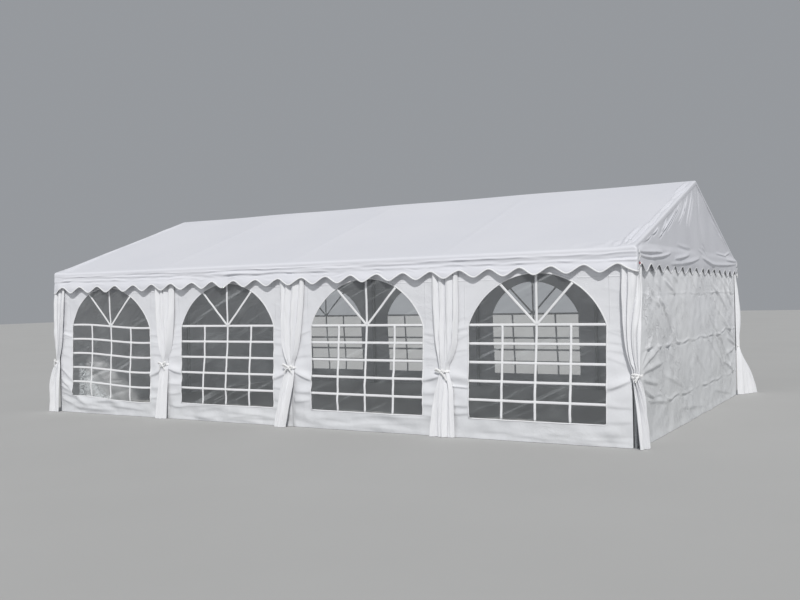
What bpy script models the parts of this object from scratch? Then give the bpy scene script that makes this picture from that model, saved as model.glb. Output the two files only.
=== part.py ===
"""Marquee tent, 8 m long and 5 m wide: a frame of steel tubes under a white cloth roof
with scalloped valances, window walls along both sides, plain end walls, and a curtain
that is drawn in by a tie at every leg.

Metres, +Z up. The origin is on the ground, under the middle of the ridge. X runs along
the ridge, the front side faces -Y, and the right end faces +X.
"""

import math

import bmesh
import bpy
from mathutils import Vector

# Ground plan: the bays along the ridge, and from the ridge to the centre line of the legs
BAYS = 4
BAY_LENGTH = 2.0
HALF_WIDTH = 2.5

# Heights of the tubes' centre lines
EAVE_HEIGHT = 1.885
RIDGE_HEIGHT = 2.74
GABLE_RAIL_DROP = 0.08

# Steel tubes, the sleeves that join them, and the feet
TUBE_RADIUS = 0.025
TUBE_SIDES = 12
SLEEVE_WALL = 0.005
SOCKET_WALL = 0.004
GABLE_SOCKET_WALL = 0.003
SLEEVE_LENGTH = 0.12
LEG_SOCKET_LENGTH = 0.16
RAIL_SOCKET_LENGTH = 0.12
END_SLEEVE_WALL = 0.0015
RAIL_END_INSET = 0.004
WELD_ROOT = 0.005
SEAT_DEPTH = 0.002
FOOT_SIZE = 0.12
FOOT_THICKNESS = 0.005
FOOT_EDGE = 0.003

# Cloth and window film, both thicker than the real sheets so that they are sound solids
CLOTH = 0.004
FILM = 0.002
HEM_HEIGHT = 0.008
PANEL_GAP = 0.004
CORNER_INSET = 0.03

# Valance
VALANCE_DROP = 0.235
SCALLOP_HEIGHT = 0.075
SCALLOPS_PER_BAY = 6
GABLE_SCALLOPS = 15
SCALLOP_STEPS = 6

# Arched window in each side wall
WINDOW_WIDTH = 1.455
SILL_HEIGHT = 0.21
SPRING_HEIGHT = 1.17
ARCH_RISE = 0.515
ARCH_STEPS = 18

# Leg curtains
CURTAIN_TOP_DROP = 0.085
WAIST_HEIGHT = 0.68
CURTAIN_TOP_DEPTH = 0.032
CURTAIN_WAIST_DEPTH = 0.045
CURTAIN_HEM_DEPTH = 0.075
CURTAIN_TOP_WIDTH = 0.33
CURTAIN_WAIST_WIDTH = 0.064
CURTAIN_HEM_WIDTH = 0.18
CORNER_TOP_SIDE = 0.19
CORNER_TOP_GABLE = 0.26
CORNER_HEM_SIDE = 0.05
CORNER_HEM_GABLE = 0.22
CORNER_HEM_DEPTH = 0.15
CURTAIN_EDGE = 0.006
PLEAT_VALLEY = 0.62
PLEAT_POINTS = 7

# Clearance between pieces that touch
GAP = 0.0003

# Sizes that follow from the ones above
LENGTH = BAYS * BAY_LENGTH
HALF_LENGTH = LENGTH / 2
SLOPE = math.atan2(RIDGE_HEIGHT - EAVE_HEIGHT, HALF_WIDTH)
BORE_RADIUS = TUBE_RADIUS + GAP
SLEEVE_RADIUS = BORE_RADIUS + SLEEVE_WALL
SOCKET_RADIUS = BORE_RADIUS + SOCKET_WALL
GABLE_SOCKET_RADIUS = BORE_RADIUS + GABLE_SOCKET_WALL
END_SLEEVE = BORE_RADIUS + END_SLEEVE_WALL
SEAT = SLEEVE_RADIUS + SEAT_DEPTH
GABLE_RAIL_HEIGHT = EAVE_HEIGHT - GABLE_RAIL_DROP
CURTAIN_TOP = EAVE_HEIGHT - CURTAIN_TOP_DROP
WALL_INNER = SLEEVE_RADIUS + GAP
WALL_OUTER = WALL_INNER + CLOTH
CURTAIN_BACK = WALL_OUTER + GAP
VALANCE_INNER = CURTAIN_BACK + CURTAIN_TOP_DEPTH + GAP
OVERHANG = VALANCE_INNER + CLOTH
ROOF_HALF_LENGTH = HALF_LENGTH + OVERHANG
ROOF_HALF_WIDTH = HALF_WIDTH + OVERHANG
ROOF_UNDER_LIFT = (SLEEVE_RADIUS + GAP) / math.cos(SLOPE)
ROOF_TOP_LIFT = (SLEEVE_RADIUS + GAP + CLOTH) / math.cos(SLOPE)

UP = Vector((0, 0, 1))
NO_TURN = (0, 0, 0)
HALF_TURN = (0, 0, math.pi)
TURN_TO_SIDE = (math.pi / 2, 0, 0)
TURN_TO_GABLE = (math.pi / 2, 0, math.pi / 2)


def clear_scene():
    for obj in list(bpy.data.objects):
        bpy.data.objects.remove(obj)


def make_collection(name):
    collection = bpy.data.collections.new(name)
    bpy.context.scene.collection.children.link(collection)
    return collection


def make_material(name, colour, roughness, metallic=0.0, alpha=1.0):
    material = bpy.data.materials.new(name)
    material.use_nodes = True
    shader = material.node_tree.nodes["Principled BSDF"]
    shader.inputs["Base Color"].default_value = (*colour, 1.0)
    shader.inputs["Roughness"].default_value = roughness
    shader.inputs["Metallic"].default_value = metallic
    shader.inputs["Alpha"].default_value = alpha
    return material


def add_piece(name, data, material, location=(0, 0, 0), rotation=NO_TURN):
    """One named sub-part, in the tent's collection."""
    obj = bpy.data.objects.new(name, data)
    obj.location = location
    obj.rotation_euler = rotation
    if not data.materials:
        data.materials.append(material)
    PARTS.objects.link(obj)
    return obj


def helper(mesh):
    obj = bpy.data.objects.new("helper", mesh)
    HELPERS.objects.link(obj)
    return obj


def rod(start, end, radius):
    """A helper cylinder from one point to another. Rods on one line have their sides in line."""
    start, end = Vector(start), Vector(end)
    mesh = bpy.data.meshes.new("rod")
    shape = bmesh.new()
    bmesh.ops.create_cone(
        shape,
        cap_ends=True,
        segments=TUBE_SIDES,
        radius1=radius,
        radius2=radius,
        depth=(end - start).length,
    )
    shape.to_mesh(mesh)
    shape.free()
    obj = helper(mesh)
    obj.rotation_mode = "QUATERNION"
    obj.rotation_quaternion = (end - start).to_track_quat("Z", "Y")
    obj.location = (start + end) / 2
    return obj


def block(centre, size):
    """A helper box."""
    mesh = bpy.data.meshes.new("block")
    shape = bmesh.new()
    bmesh.ops.create_cube(shape, size=1.0)
    bmesh.ops.scale(shape, vec=size, verts=shape.verts)
    shape.to_mesh(mesh)
    shape.free()
    obj = helper(mesh)
    obj.location = centre
    return obj


def fused(solids, bores=()):
    """The mesh of helper solids joined into one, with helper bores cut from it."""
    base = solids[0]
    steps = [(other, "UNION") for other in solids[1:]]
    steps += [(bore, "DIFFERENCE") for bore in bores]
    for other, operation in steps:
        modifier = base.modifiers.new(operation, "BOOLEAN")
        modifier.operation = operation
        modifier.object = other
    bpy.context.view_layer.update()
    graph = bpy.context.evaluated_depsgraph_get()
    mesh = bpy.data.meshes.new_from_object(base.evaluated_get(graph))
    mesh.transform(base.matrix_world)
    for obj in [base] + [other for other, _ in steps]:
        bpy.data.objects.remove(obj)
    mesh.shade_smooth()
    mesh.set_sharp_from_angle(angle=math.radians(40))
    return mesh


def outline_curve(outlines, thickness):
    """A flat sheet with the given outlines, the first the edge and the others holes."""
    curve = bpy.data.curves.new("sheet", "CURVE")
    curve.dimensions = "2D"
    curve.fill_mode = "BOTH"
    curve.extrude = thickness / 2
    for points in outlines:
        spline = curve.splines.new("POLY")
        spline.points.add(len(points) - 1)
        for point, (u, v) in zip(spline.points, points):
            point.co = (u, v, 0, 1)
        spline.use_cyclic_u = True
    return curve


def roof_under(distance):
    """Height of the roof cloth's underside at a distance from the ridge line."""
    return RIDGE_HEIGHT + ROOF_UNDER_LIFT - distance * math.tan(SLOPE)


def roof_top(distance):
    return RIDGE_HEIGHT + ROOF_TOP_LIFT - distance * math.tan(SLOPE)


def leg_positions():
    return [-HALF_LENGTH + i * BAY_LENGTH for i in range(BAYS + 1)]


# Frame of steel tubes


def leg_mesh(top):
    """A tube on its foot plate, which reaches into the tent, along +Y."""
    tube = rod((0, 0, FOOT_THICKNESS / 2), (0, 0, top), TUBE_RADIUS)
    inset = FOOT_SIZE / 2 - TUBE_RADIUS - FOOT_EDGE
    foot = block((0, inset, FOOT_THICKNESS / 2), (FOOT_SIZE, FOOT_SIZE, FOOT_THICKNESS))
    return fused([foot, tube])


def truss_mesh(at_end):
    """Two rafters with the sleeves welded on them: one for the ridge rail, two for the
    eave rails, and a socket for each leg. At an end of the tent it also has sockets for
    the gable rail and for the gable post, and its sleeves are short on the outside."""
    outside = END_SLEEVE if at_end else SLEEVE_LENGTH / 2
    inside = SLEEVE_LENGTH / 2
    through = Vector((2 * SLEEVE_LENGTH, 0, 0))
    root = UP * WELD_ROOT
    ridge = Vector((0, 0, RIDGE_HEIGHT))
    solids = []
    bores = []
    rails = [ridge]
    for side in (-1, 1):
        eave = Vector((0, side * HALF_WIDTH, EAVE_HEIGHT))
        rails.append(eave)
        weld = (ridge - eave).normalized() * WELD_ROOT
        solids.append(rod(eave + weld, ridge - weld, TUBE_RADIUS))
        solids.append(rod(eave - UP * LEG_SOCKET_LENGTH, eave - root, SOCKET_RADIUS))
        leg_top = eave - UP * SEAT
        bores.append(rod(leg_top - UP * LEG_SOCKET_LENGTH, leg_top, BORE_RADIUS))
        if at_end:
            inward = Vector((0, -side, 0))
            corner = eave - UP * GABLE_RAIL_DROP
            mouth = corner + inward * RAIL_SOCKET_LENGTH
            start = corner + inward * WELD_ROOT
            solids.append(rod(start, mouth, GABLE_SOCKET_RADIUS))
            rail_end = corner + inward * SEAT
            bores.append(rod(rail_end, mouth + inward * RAIL_SOCKET_LENGTH, BORE_RADIUS))
    if at_end:
        solids.append(rod(ridge - UP * RAIL_SOCKET_LENGTH, ridge - root, SOCKET_RADIUS))
        post_top = ridge - UP * SEAT
        bores.append(rod(post_top - UP * RAIL_SOCKET_LENGTH, post_top, BORE_RADIUS))
    for centre in rails:
        start = centre - Vector((outside, 0, 0))
        end = centre + Vector((inside, 0, 0))
        solids.append(rod(start, end, SLEEVE_RADIUS))
        bores.append(rod(centre - through, centre + through, BORE_RADIUS))
    return fused(solids, bores)


def gable_rail_mesh():
    """The rail across one end, with a sleeve in its middle that slides on the post."""
    end = HALF_WIDTH - SEAT - GAP
    rail = rod((0, -end, 0), (0, end, 0), TUBE_RADIUS)
    half_sleeve = UP * SLEEVE_LENGTH / 2
    sleeve = rod(-half_sleeve, half_sleeve, SLEEVE_RADIUS)
    bore = rod(-2 * half_sleeve, 2 * half_sleeve, BORE_RADIUS)
    return fused([rail, sleeve], [bore])


def build_frame(steel):
    leg = leg_mesh(EAVE_HEIGHT - SEAT - GAP)
    for number, x in enumerate(leg_positions(), 1):
        add_piece(f"leg_front_{number}", leg, steel, (x, -HALF_WIDTH, 0))
        add_piece(f"leg_back_{number}", leg, steel, (x, HALF_WIDTH, 0), HALF_TURN)

    post = leg_mesh(RIDGE_HEIGHT - SEAT - GAP)
    gable_rail = gable_rail_mesh()
    for name, end in (("left", -1), ("right", 1)):
        x = end * HALF_LENGTH
        inward = (0, 0, end * math.pi / 2)
        add_piece(f"gable_post_{name}", post, steel, (x, 0, 0), inward)
        add_piece(f"gable_rail_{name}", gable_rail, steel, (x, 0, GABLE_RAIL_HEIGHT))

    end_truss = truss_mesh(at_end=True)
    middle_truss = truss_mesh(at_end=False)
    last = BAYS + 1
    for number, x in enumerate(leg_positions(), 1):
        mesh = end_truss if number in (1, last) else middle_truss
        turn = HALF_TURN if number == last else NO_TURN
        add_piece(f"roof_truss_{number}", mesh, steel, (x, 0, 0), turn)

    rail_end = HALF_LENGTH + END_SLEEVE - RAIL_END_INSET
    rail = fused([rod((-rail_end, 0, 0), (rail_end, 0, 0), TUBE_RADIUS)])
    add_piece("ridge_rail", rail, steel, (0, 0, RIDGE_HEIGHT))
    add_piece("eave_rail_front", rail, steel, (0, -HALF_WIDTH, EAVE_HEIGHT))
    add_piece("eave_rail_back", rail, steel, (0, HALF_WIDTH, EAVE_HEIGHT))


# Roof cloth


def scallop_columns(half_width, period, low_point):
    """Places across a wavy edge, in step with its waves, and its two ends."""
    step = period / SCALLOP_STEPS
    first = math.ceil((-half_width - low_point) / step + 0.5)
    last = math.floor((half_width - low_point) / step - 0.5)
    inner = [low_point + step * i for i in range(first, last + 1)]
    return [-half_width] + inner + [half_width]


def scalloped_cloth(half_width, period, low_point, bottom, top):
    """An open upright sheet with a wavy lower edge, whose lowest points are at low_point
    and every period from it. Top is a function that gives the sheet's height."""
    shape = bmesh.new()
    columns = []
    for u in scallop_columns(half_width, period, low_point):
        wave = (1 - math.cos(2 * math.pi * (u - low_point) / period)) / 2
        lower = shape.verts.new((u, bottom + SCALLOP_HEIGHT * wave, 0))
        upper = shape.verts.new((u, top(u), 0))
        columns.append((lower, upper))
    for (low_a, high_a), (low_b, high_b) in zip(columns, columns[1:]):
        shape.faces.new((low_a, low_b, high_b, high_a))
    mesh = bpy.data.meshes.new("scalloped_cloth")
    shape.to_mesh(mesh)
    shape.free()
    return mesh


def add_cloth(name, mesh, material, location, rotation):
    """A piece made of an open sheet, which gets the cloth's thickness."""
    obj = add_piece(name, mesh, material, location, rotation)
    modifier = obj.modifiers.new("thickness", "SOLIDIFY")
    modifier.thickness = CLOTH
    modifier.offset = 0


def build_roof(cloth):
    low = roof_top(ROOF_HALF_WIDTH) - VALANCE_DROP
    slope = [
        (GAP / 2, roof_under(0)),
        (ROOF_HALF_WIDTH, roof_under(ROOF_HALF_WIDTH)),
        (ROOF_HALF_WIDTH, roof_top(ROOF_HALF_WIDTH)),
        (GAP / 2, roof_top(0)),
    ]
    front_slope = [(-y, z) for y, z in slope]
    for name, section in (("front", front_slope), ("back", slope)):
        curve = outline_curve([section], 2 * ROOF_HALF_LENGTH)
        add_piece(f"roof_slope_{name}", curve, cloth, rotation=TURN_TO_GABLE)

    def under_eave(u):
        return roof_under(ROOF_HALF_WIDTH) - GAP

    def under_slopes(u):
        return roof_under(abs(u)) - GAP

    period = BAY_LENGTH / SCALLOPS_PER_BAY
    valance = scalloped_cloth(ROOF_HALF_LENGTH, period, -HALF_LENGTH, low, under_eave)
    middle = ROOF_HALF_WIDTH - CLOTH / 2
    add_cloth("valance_front", valance, cloth, (0, -middle, 0), TURN_TO_SIDE)
    add_cloth("valance_back", valance, cloth, (0, middle, 0), TURN_TO_SIDE)

    period = 2 * HALF_WIDTH / GABLE_SCALLOPS
    half_width = HALF_WIDTH + VALANCE_INNER - GAP
    gable = scalloped_cloth(half_width, period, -HALF_WIDTH, low, under_slopes)
    middle = ROOF_HALF_LENGTH - CLOTH / 2
    add_cloth("gable_cloth_left", gable, cloth, (-middle, 0, 0), TURN_TO_GABLE)
    add_cloth("gable_cloth_right", gable, cloth, (middle, 0, 0), TURN_TO_GABLE)


# Walls and windows


def window_outline(inset=0.0):
    """The arched opening, or the same shape drawn in by an inset."""
    half = WINDOW_WIDTH / 2
    radius = (half**2 + ARCH_RISE**2) / (2 * ARCH_RISE)
    centre = SPRING_HEIGHT + ARCH_RISE - radius
    inner_radius = radius - inset
    side = half - inset
    sweep = math.asin(side / inner_radius)
    points = [(-side, SILL_HEIGHT + inset), (side, SILL_HEIGHT + inset)]
    for i in range(ARCH_STEPS + 1):
        angle = sweep * (1 - 2 * i / ARCH_STEPS)
        u = inner_radius * math.sin(angle)
        points.append((u, centre + inner_radius * math.cos(angle)))
    return points


def rectangle(left, right, bottom, top):
    return [(left, bottom), (right, bottom), (right, top), (left, top)]


def side_wall_curve(left_end, right_end):
    edge = rectangle(left_end, right_end, HEM_HEIGHT, EAVE_HEIGHT)
    return outline_curve([edge, window_outline()], CLOTH)


def build_walls(cloth, film):
    joint = BAY_LENGTH / 2 - PANEL_GAP / 2
    corner = BAY_LENGTH / 2 - CORNER_INSET
    window = outline_curve([window_outline(GAP)], FILM)
    middle = HALF_WIDTH + WALL_INNER + CLOTH / 2
    for bay in range(BAYS):
        left_end = -corner if bay == 0 else -joint
        right_end = corner if bay == BAYS - 1 else joint
        x = -HALF_LENGTH + (bay + 0.5) * BAY_LENGTH
        wall = side_wall_curve(left_end, right_end)
        for name, y in (("front", -middle), ("back", middle)):
            number = bay + 1
            add_piece(f"side_wall_{name}_{number}", wall, cloth, (x, y, 0), TURN_TO_SIDE)
            add_piece(f"window_{name}_{number}", window, film, (x, y, 0), TURN_TO_SIDE)

    half_width = HALF_WIDTH - CORNER_INSET
    top = GABLE_RAIL_HEIGHT + TUBE_RADIUS
    end_wall = outline_curve([rectangle(-half_width, half_width, HEM_HEIGHT, top)], CLOTH)
    middle = HALF_LENGTH + WALL_INNER + CLOTH / 2
    add_piece("end_wall_left", end_wall, cloth, (-middle, 0, 0), TURN_TO_GABLE)
    add_piece("end_wall_right", end_wall, cloth, (middle, 0, 0), TURN_TO_GABLE)


# Leg curtains


def along_side(s):
    """Point and outward direction at s on a straight wall, in wall coordinates."""
    return Vector((s, 0)), Vector((0, 1))


def around_corner(s):
    """The same at s round a corner: the side wall is at s below 0, the gable above it."""
    if s < 0:
        return Vector((s, 0)), Vector((0, 1))
    if s > 0:
        return Vector((0, -s)), Vector((1, 0))
    return Vector((0, 0)), Vector((1, 1))


def curtain_section(wall_path, start, end, depth):
    """One level of a curtain: the back lies on the wall, and the front is pleated."""
    middle = min(max(0.0, start), end)
    half = (PLEAT_POINTS - 1) // 2
    back = []
    front = []
    for i in range(PLEAT_POINTS):
        if i <= half:
            s = start + (middle - start) * i / half
        else:
            s = middle + (end - middle) * (i - half) / half
        point, outward = wall_path(0.0 if i == half and start < 0 < end else s)
        at_edge = i in (0, PLEAT_POINTS - 1)
        fold = 1.0 if i % 2 else PLEAT_VALLEY
        thickness = CURTAIN_EDGE if at_edge else depth * fold
        back.append(point)
        front.append(point + outward * thickness)
    return front + back[::-1]


def curtain_levels(top, waist, hem):
    """Start, end and depth of the cloth at each height. It hangs nearly straight from
    the top, closes quickly into the tie at the waist, and opens again to the hem."""
    levels = []
    for t in (1.0, 0.55, 0.25, 0.09):
        share = t**0.4
        start, end = (w + (o - w) * share for w, o in zip(waist[:2], top[:2]))
        closing = max(0.0, 1 - t / 0.55)
        depth = top[2] + (waist[2] - top[2]) * closing
        height = WAIST_HEIGHT + t * (CURTAIN_TOP - WAIST_HEIGHT)
        levels.append((height, start, end, depth))
    levels.append((WAIST_HEIGHT, *waist))
    for t in (0.12, 0.5, 1.0):
        share = t**0.6
        start, end, depth = (w + (h - w) * share for w, h in zip(waist, hem))
        levels.append((WAIST_HEIGHT + t * (HEM_HEIGHT - WAIST_HEIGHT), start, end, depth))
    return levels


def curtain_mesh(wall_path, levels, place):
    """A loft through the curtain's levels, closed at its top and hem."""
    shape = bmesh.new()
    rings = []
    for height, start, end, depth in levels:
        section = curtain_section(wall_path, start, end, depth)
        rings.append([shape.verts.new(place(u, v, height)) for u, v in section])
    for upper, lower in zip(rings, rings[1:]):
        for i in range(len(upper)):
            j = (i + 1) % len(upper)
            shape.faces.new((upper[i], upper[j], lower[j], lower[i]))
    shape.faces.new(rings[0])
    shape.faces.new(rings[-1])
    bmesh.ops.recalc_face_normals(shape, faces=shape.faces)
    mesh = bpy.data.meshes.new("curtain")
    shape.to_mesh(mesh)
    shape.free()
    return mesh


def build_curtains(cloth):
    half_top = CURTAIN_TOP_WIDTH / 2
    half_waist = CURTAIN_WAIST_WIDTH / 2
    half_hem = CURTAIN_HEM_WIDTH / 2
    waist = (-half_waist, half_waist, CURTAIN_WAIST_DEPTH)
    straight = curtain_levels(
        (-half_top, half_top, CURTAIN_TOP_DEPTH),
        waist,
        (-half_hem, half_hem, CURTAIN_HEM_DEPTH),
    )
    corner = curtain_levels(
        (-CORNER_TOP_SIDE, CORNER_TOP_GABLE, CURTAIN_TOP_DEPTH),
        waist,
        (-CORNER_HEM_SIDE, CORNER_HEM_GABLE, CORNER_HEM_DEPTH),
    )
    back_y = HALF_WIDTH + CURTAIN_BACK
    corner_x = HALF_LENGTH + CURTAIN_BACK
    for name, side in (("front", -1), ("back", 1)):
        for number, x in enumerate(leg_positions(), 1):
            if 1 < number < BAYS + 1:

                def place(u, v, z, x=x, side=side):
                    return (x + u, side * (back_y + v), z)

                mesh = curtain_mesh(along_side, straight, place)
            else:
                end = -1 if number == 1 else 1

                def place(u, v, z, end=end, side=side):
                    return (end * (corner_x + u), side * (back_y + v), z)

                mesh = curtain_mesh(around_corner, corner, place)
            add_piece(f"curtain_{name}_{number}", mesh, cloth)


clear_scene()
PARTS = make_collection("marquee_tent")
HELPERS = make_collection("helpers")

steel = make_material("galvanised_steel", (0.55, 0.57, 0.59), 0.45, metallic=0.9)
roof_cloth = make_material("roof_cloth", (0.84, 0.85, 0.88), 0.45)
wall_cloth = make_material("wall_cloth", (0.82, 0.83, 0.87), 0.5)
curtain_cloth = make_material("curtain_cloth", (0.88, 0.89, 0.92), 0.6)
clear_film = make_material("clear_film", (0.80, 0.84, 0.86), 0.1, alpha=0.3)

build_frame(steel)
build_roof(roof_cloth)
build_walls(wall_cloth, clear_film)
build_curtains(curtain_cloth)
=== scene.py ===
# %% [markdown]
# # Dressing a marquee tent
#
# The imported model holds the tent's steel frame and, for each cloth, a plain solid that says where it hangs.
# This lesson gives the steel its finish, and replaces every cloth solid by a sheet that sags, folds and
# wrinkles. All sizes are in metres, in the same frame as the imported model.

# %% Load the frame and keep its box
import math

import bmesh
import bpy
import numpy as np
from mathutils import Matrix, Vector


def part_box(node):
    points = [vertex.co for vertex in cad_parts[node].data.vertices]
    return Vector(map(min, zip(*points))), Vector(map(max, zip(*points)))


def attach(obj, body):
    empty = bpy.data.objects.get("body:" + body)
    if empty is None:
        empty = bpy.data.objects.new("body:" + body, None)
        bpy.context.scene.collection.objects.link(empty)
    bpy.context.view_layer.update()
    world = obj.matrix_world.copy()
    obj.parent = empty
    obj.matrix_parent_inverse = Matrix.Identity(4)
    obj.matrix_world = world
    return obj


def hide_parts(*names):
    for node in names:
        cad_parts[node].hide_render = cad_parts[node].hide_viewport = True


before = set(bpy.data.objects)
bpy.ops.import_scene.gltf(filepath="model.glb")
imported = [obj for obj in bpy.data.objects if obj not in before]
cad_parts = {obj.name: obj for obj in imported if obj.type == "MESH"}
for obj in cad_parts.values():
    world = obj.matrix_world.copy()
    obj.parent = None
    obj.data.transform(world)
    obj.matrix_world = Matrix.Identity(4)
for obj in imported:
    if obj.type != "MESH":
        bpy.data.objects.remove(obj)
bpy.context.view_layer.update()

# %% [markdown]
# The cloths hang from the tubes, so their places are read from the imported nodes. The wall hangs just
# outside the legs, the leg curtains lie on the wall, and the roof sheet reaches past both. At its two ends
# it hangs 31 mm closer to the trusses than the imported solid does.

# %% Places that the frame gives
leg_x = [sum(corner.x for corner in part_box(f"leg_front_{i}")) / 2 for i in range(1, 6)]
roof_low, roof_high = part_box("roof_slope_front")
wall_low, wall_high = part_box("side_wall_front_2")
HALF_LENGTH, HALF_WIDTH, BAY = 4.0, 2.5, 2.0
CLOTH = 0.004
WALL_TOP = 1.865
WAIST = 0.68
SLOPE = math.radians(18.88)
ROOF_X = roof_high.x - 0.031
VALANCE_OUT = -roof_low.y - CLOTH / 2
VALANCE_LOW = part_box("valance_front")[0].z + 0.001
RIDGE_TOP = roof_high.z - CLOTH / 2
WALL_OUT = -(wall_low.y + wall_high.y) / 2 - HALF_WIDTH
CURTAIN_OUT = WALL_OUT + CLOTH / 2 + 0.0012
print("legs at", [round(x, 3) for x in leg_x], "wall out", round(WALL_OUT, 4), "roof", ROOF_X, VALANCE_OUT)

# %% [markdown]
# ## The camera
#
# The photograph shows the tent from its front right corner at eye height. The camera's place, direction,
# roll and lens were worked out from the tent's corners, so a point of the model lands where the photograph
# shows it.

# %% The camera at the photograph's viewing angle
CAMERA_PLACE = (6.3935, -10.9817, 1.4627)
YAW, PITCH, ROLL = 0.52758, -0.00197, -0.02146
FOCAL_PIXELS, PHOTO_PIXELS, SENSOR = 905.36, 800, 36.0


def put(name, data, axes, place=(0, 0, 0)):
    """Adds an object at place whose own x, y and z axes are the three given."""
    holder = bpy.data.objects.new(name, data)
    holder.matrix_world = Matrix.Translation(place) @ Matrix(np.stack(axes, axis=1).tolist()).to_4x4()
    bpy.context.scene.collection.objects.link(holder)
    return holder


ahead = np.array([-math.sin(YAW) * math.cos(PITCH), math.cos(YAW) * math.cos(PITCH), math.sin(PITCH)])
level = np.array([math.cos(YAW), math.sin(YAW), 0.0])
above = np.cross(level, ahead)
right = math.cos(ROLL) * level + math.sin(ROLL) * above
up = -math.sin(ROLL) * level + math.cos(ROLL) * above
lens = bpy.data.cameras.new("camera")
lens.sensor_width = SENSOR
lens.lens = FOCAL_PIXELS * SENSOR / PHOTO_PIXELS
lens.clip_end = 200
bpy.context.scene.camera = put("camera", lens, (right, up, -ahead), CAMERA_PLACE)
print("lens", round(lens.lens, 2), "mm at", CAMERA_PLACE)

# %% [markdown]
# ## Surfaces from grids of points
#
# A sheet of cloth is a grid: walking along it in two directions gives a point in space for each pair of
# numbers. So each piece is worked out as whole numpy arrays, and one function turns its grids into a mesh.
# The cloth's own flat measure goes into its UV map, in metres, so that a pattern follows the cloth.

# %% Turn grids of points into one mesh
made = []


def corners(grid):
    """The four corners of each cell of a grid, going round it."""
    return grid[:-1, :-1], grid[:-1, 1:], grid[1:, 1:], grid[1:, :-1]


def walked(line):
    """How far each point of a line is from its start, measured along it."""
    return np.append(0.0, np.cumsum(np.linalg.norm(np.diff(line, axis=0), axis=-1)))


def flat_measure(grid):
    """UV in metres: the distance walked along the middle row, and along the middle column, of the grid."""
    u, v = walked(grid[len(grid) // 2]), walked(grid[:, grid.shape[1] // 2])
    return np.stack(np.broadcast_arrays(u, v[:, None]), axis=-1)


def surface(name, grids, facing=None, measure=None, weld=False):
    """One mesh object from grids of points. A grid is turned over where the sum of its cells' area vectors
    (half the cross product of the diagonals) points away from facing, or, with no facing, where the volume
    that it encloses (a sixth of the sum of the cells' corner triple products) comes out negative."""
    grids = [grids] if isinstance(grids, np.ndarray) else grids
    points, quads, flat, first = [], [], [], 0
    for grid in grids:
        flat_grid = flat_measure(grid) if measure is None else measure
        a, b, c, d = corners(grid)
        if facing is None:
            size = (a * (np.cross(b, c) + np.cross(c, d))).sum()
        else:
            size = np.cross(c - a, d - b).reshape(-1, 3).sum(axis=0) @ np.array(facing, float)
        if size < 0:
            grid, flat_grid = grid[:, ::-1], flat_grid[:, ::-1]
        number = first + np.arange(grid[..., 0].size).reshape(grid.shape[:2])
        quads.append(np.stack(corners(number), axis=-1).reshape(-1, 4))
        points.append(grid.reshape(-1, 3))
        flat.append(flat_grid.reshape(-1, 2))
        first += number.size
    points, quads, flat = np.concatenate(points), np.concatenate(quads), np.concatenate(flat)
    mesh = bpy.data.meshes.new(name)
    mesh.vertices.add(len(points))
    mesh.vertices.foreach_set("co", points.astype(np.float32).ravel())
    mesh.loops.add(quads.size)
    mesh.loops.foreach_set("vertex_index", quads.astype(np.int32).ravel())
    mesh.polygons.add(len(quads))
    mesh.polygons.foreach_set("loop_start", np.arange(0, quads.size, 4, dtype=np.int32))
    mesh.update(calc_edges=True)
    mesh.polygons.foreach_set("use_smooth", np.ones(len(quads), bool))
    mesh.uv_layers.new(name="flat").data.foreach_set("uv", flat[quads.ravel()].astype(np.float32).ravel())
    if weld:
        shape = bmesh.new()
        shape.from_mesh(mesh)
        bmesh.ops.remove_doubles(shape, verts=shape.verts, dist=1e-6)
        bmesh.ops.dissolve_degenerate(shape, edges=shape.edges, dist=1e-7)
        shape.to_mesh(mesh)
        shape.free()
    piece = bpy.data.objects.new(name, mesh)
    bpy.context.scene.collection.objects.link(piece)
    return piece


def add_piece(name, grids, material, stands_for=(), facing=None, measure=None, weld=False):
    """A finished piece that rides with the frame. One with no facing is made of closed parts, and is
    welded."""
    piece = surface(name, grids, facing, measure, weld or facing is None)
    piece.data.materials.append(material)
    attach(piece, "root")
    if stands_for:
        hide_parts(*stands_for)
    made.append(piece)
    return piece


# %% [markdown]
# ## The shape of a wrinkle
#
# A wrinkle in coated cloth is a long low ridge that starts and ends in nothing, with a hollow on its lee
# side. A few dozen of them, each where the cloth is pulled, give a wall its real look. Softer waves of many
# headings, drawn from a seeded table so that they are the same each time, stand for the slack of the cloth.

# %% Functions for folds and slack
WAVES = 14


def metres(*rows):
    """Rows of whole millimetres as rows of metres."""
    return [[value / 1000 for value in row] for row in rows]


def ease(x, low, high):
    """0 below low and 1 above high, joined by the S-shaped curve 3t^2 - 2t^3."""
    t = np.clip((x - low) / (high - low), 0.0, 1.0)
    return t * t * (3 - 2 * t)


def bell(x, width):
    """e to the minus (x over width) squared: 1 at the middle and almost 0 at two widths away."""
    return np.exp(-((x / width) ** 2))


def beside(u, v, u0, v0, u1, v1):
    """The place of a point beside the line from (u0, v0) to (u1, v1): the half sine of its share of the way
    along, which fades out at both ends, and its distance to the left."""
    du, dv = u1 - u0, v1 - v0
    length = math.hypot(du, dv)
    along = ((u - u0) * du + (v - v0) * dv) / length**2
    return np.sin(np.pi * np.clip(along, 0.0, 1.0)), ((v - v0) * du - (u - u0) * dv) / length


def wrinkle(u, v, u0, v0, u1, v1, width, height, bow=0.0, lee=0.45):
    """A ridge along a line: a bell across it less a lower bell on its lee side, times the square root of
    the half sine along it. Bow bends it sideways by a half sine of that size."""
    fade, across = beside(u, v, u0, v0, u1, v1)
    across = across - bow * fade
    return height * np.sqrt(fade) * (bell(across, width) - lee * bell(across - 1.7 * width, width))


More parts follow.
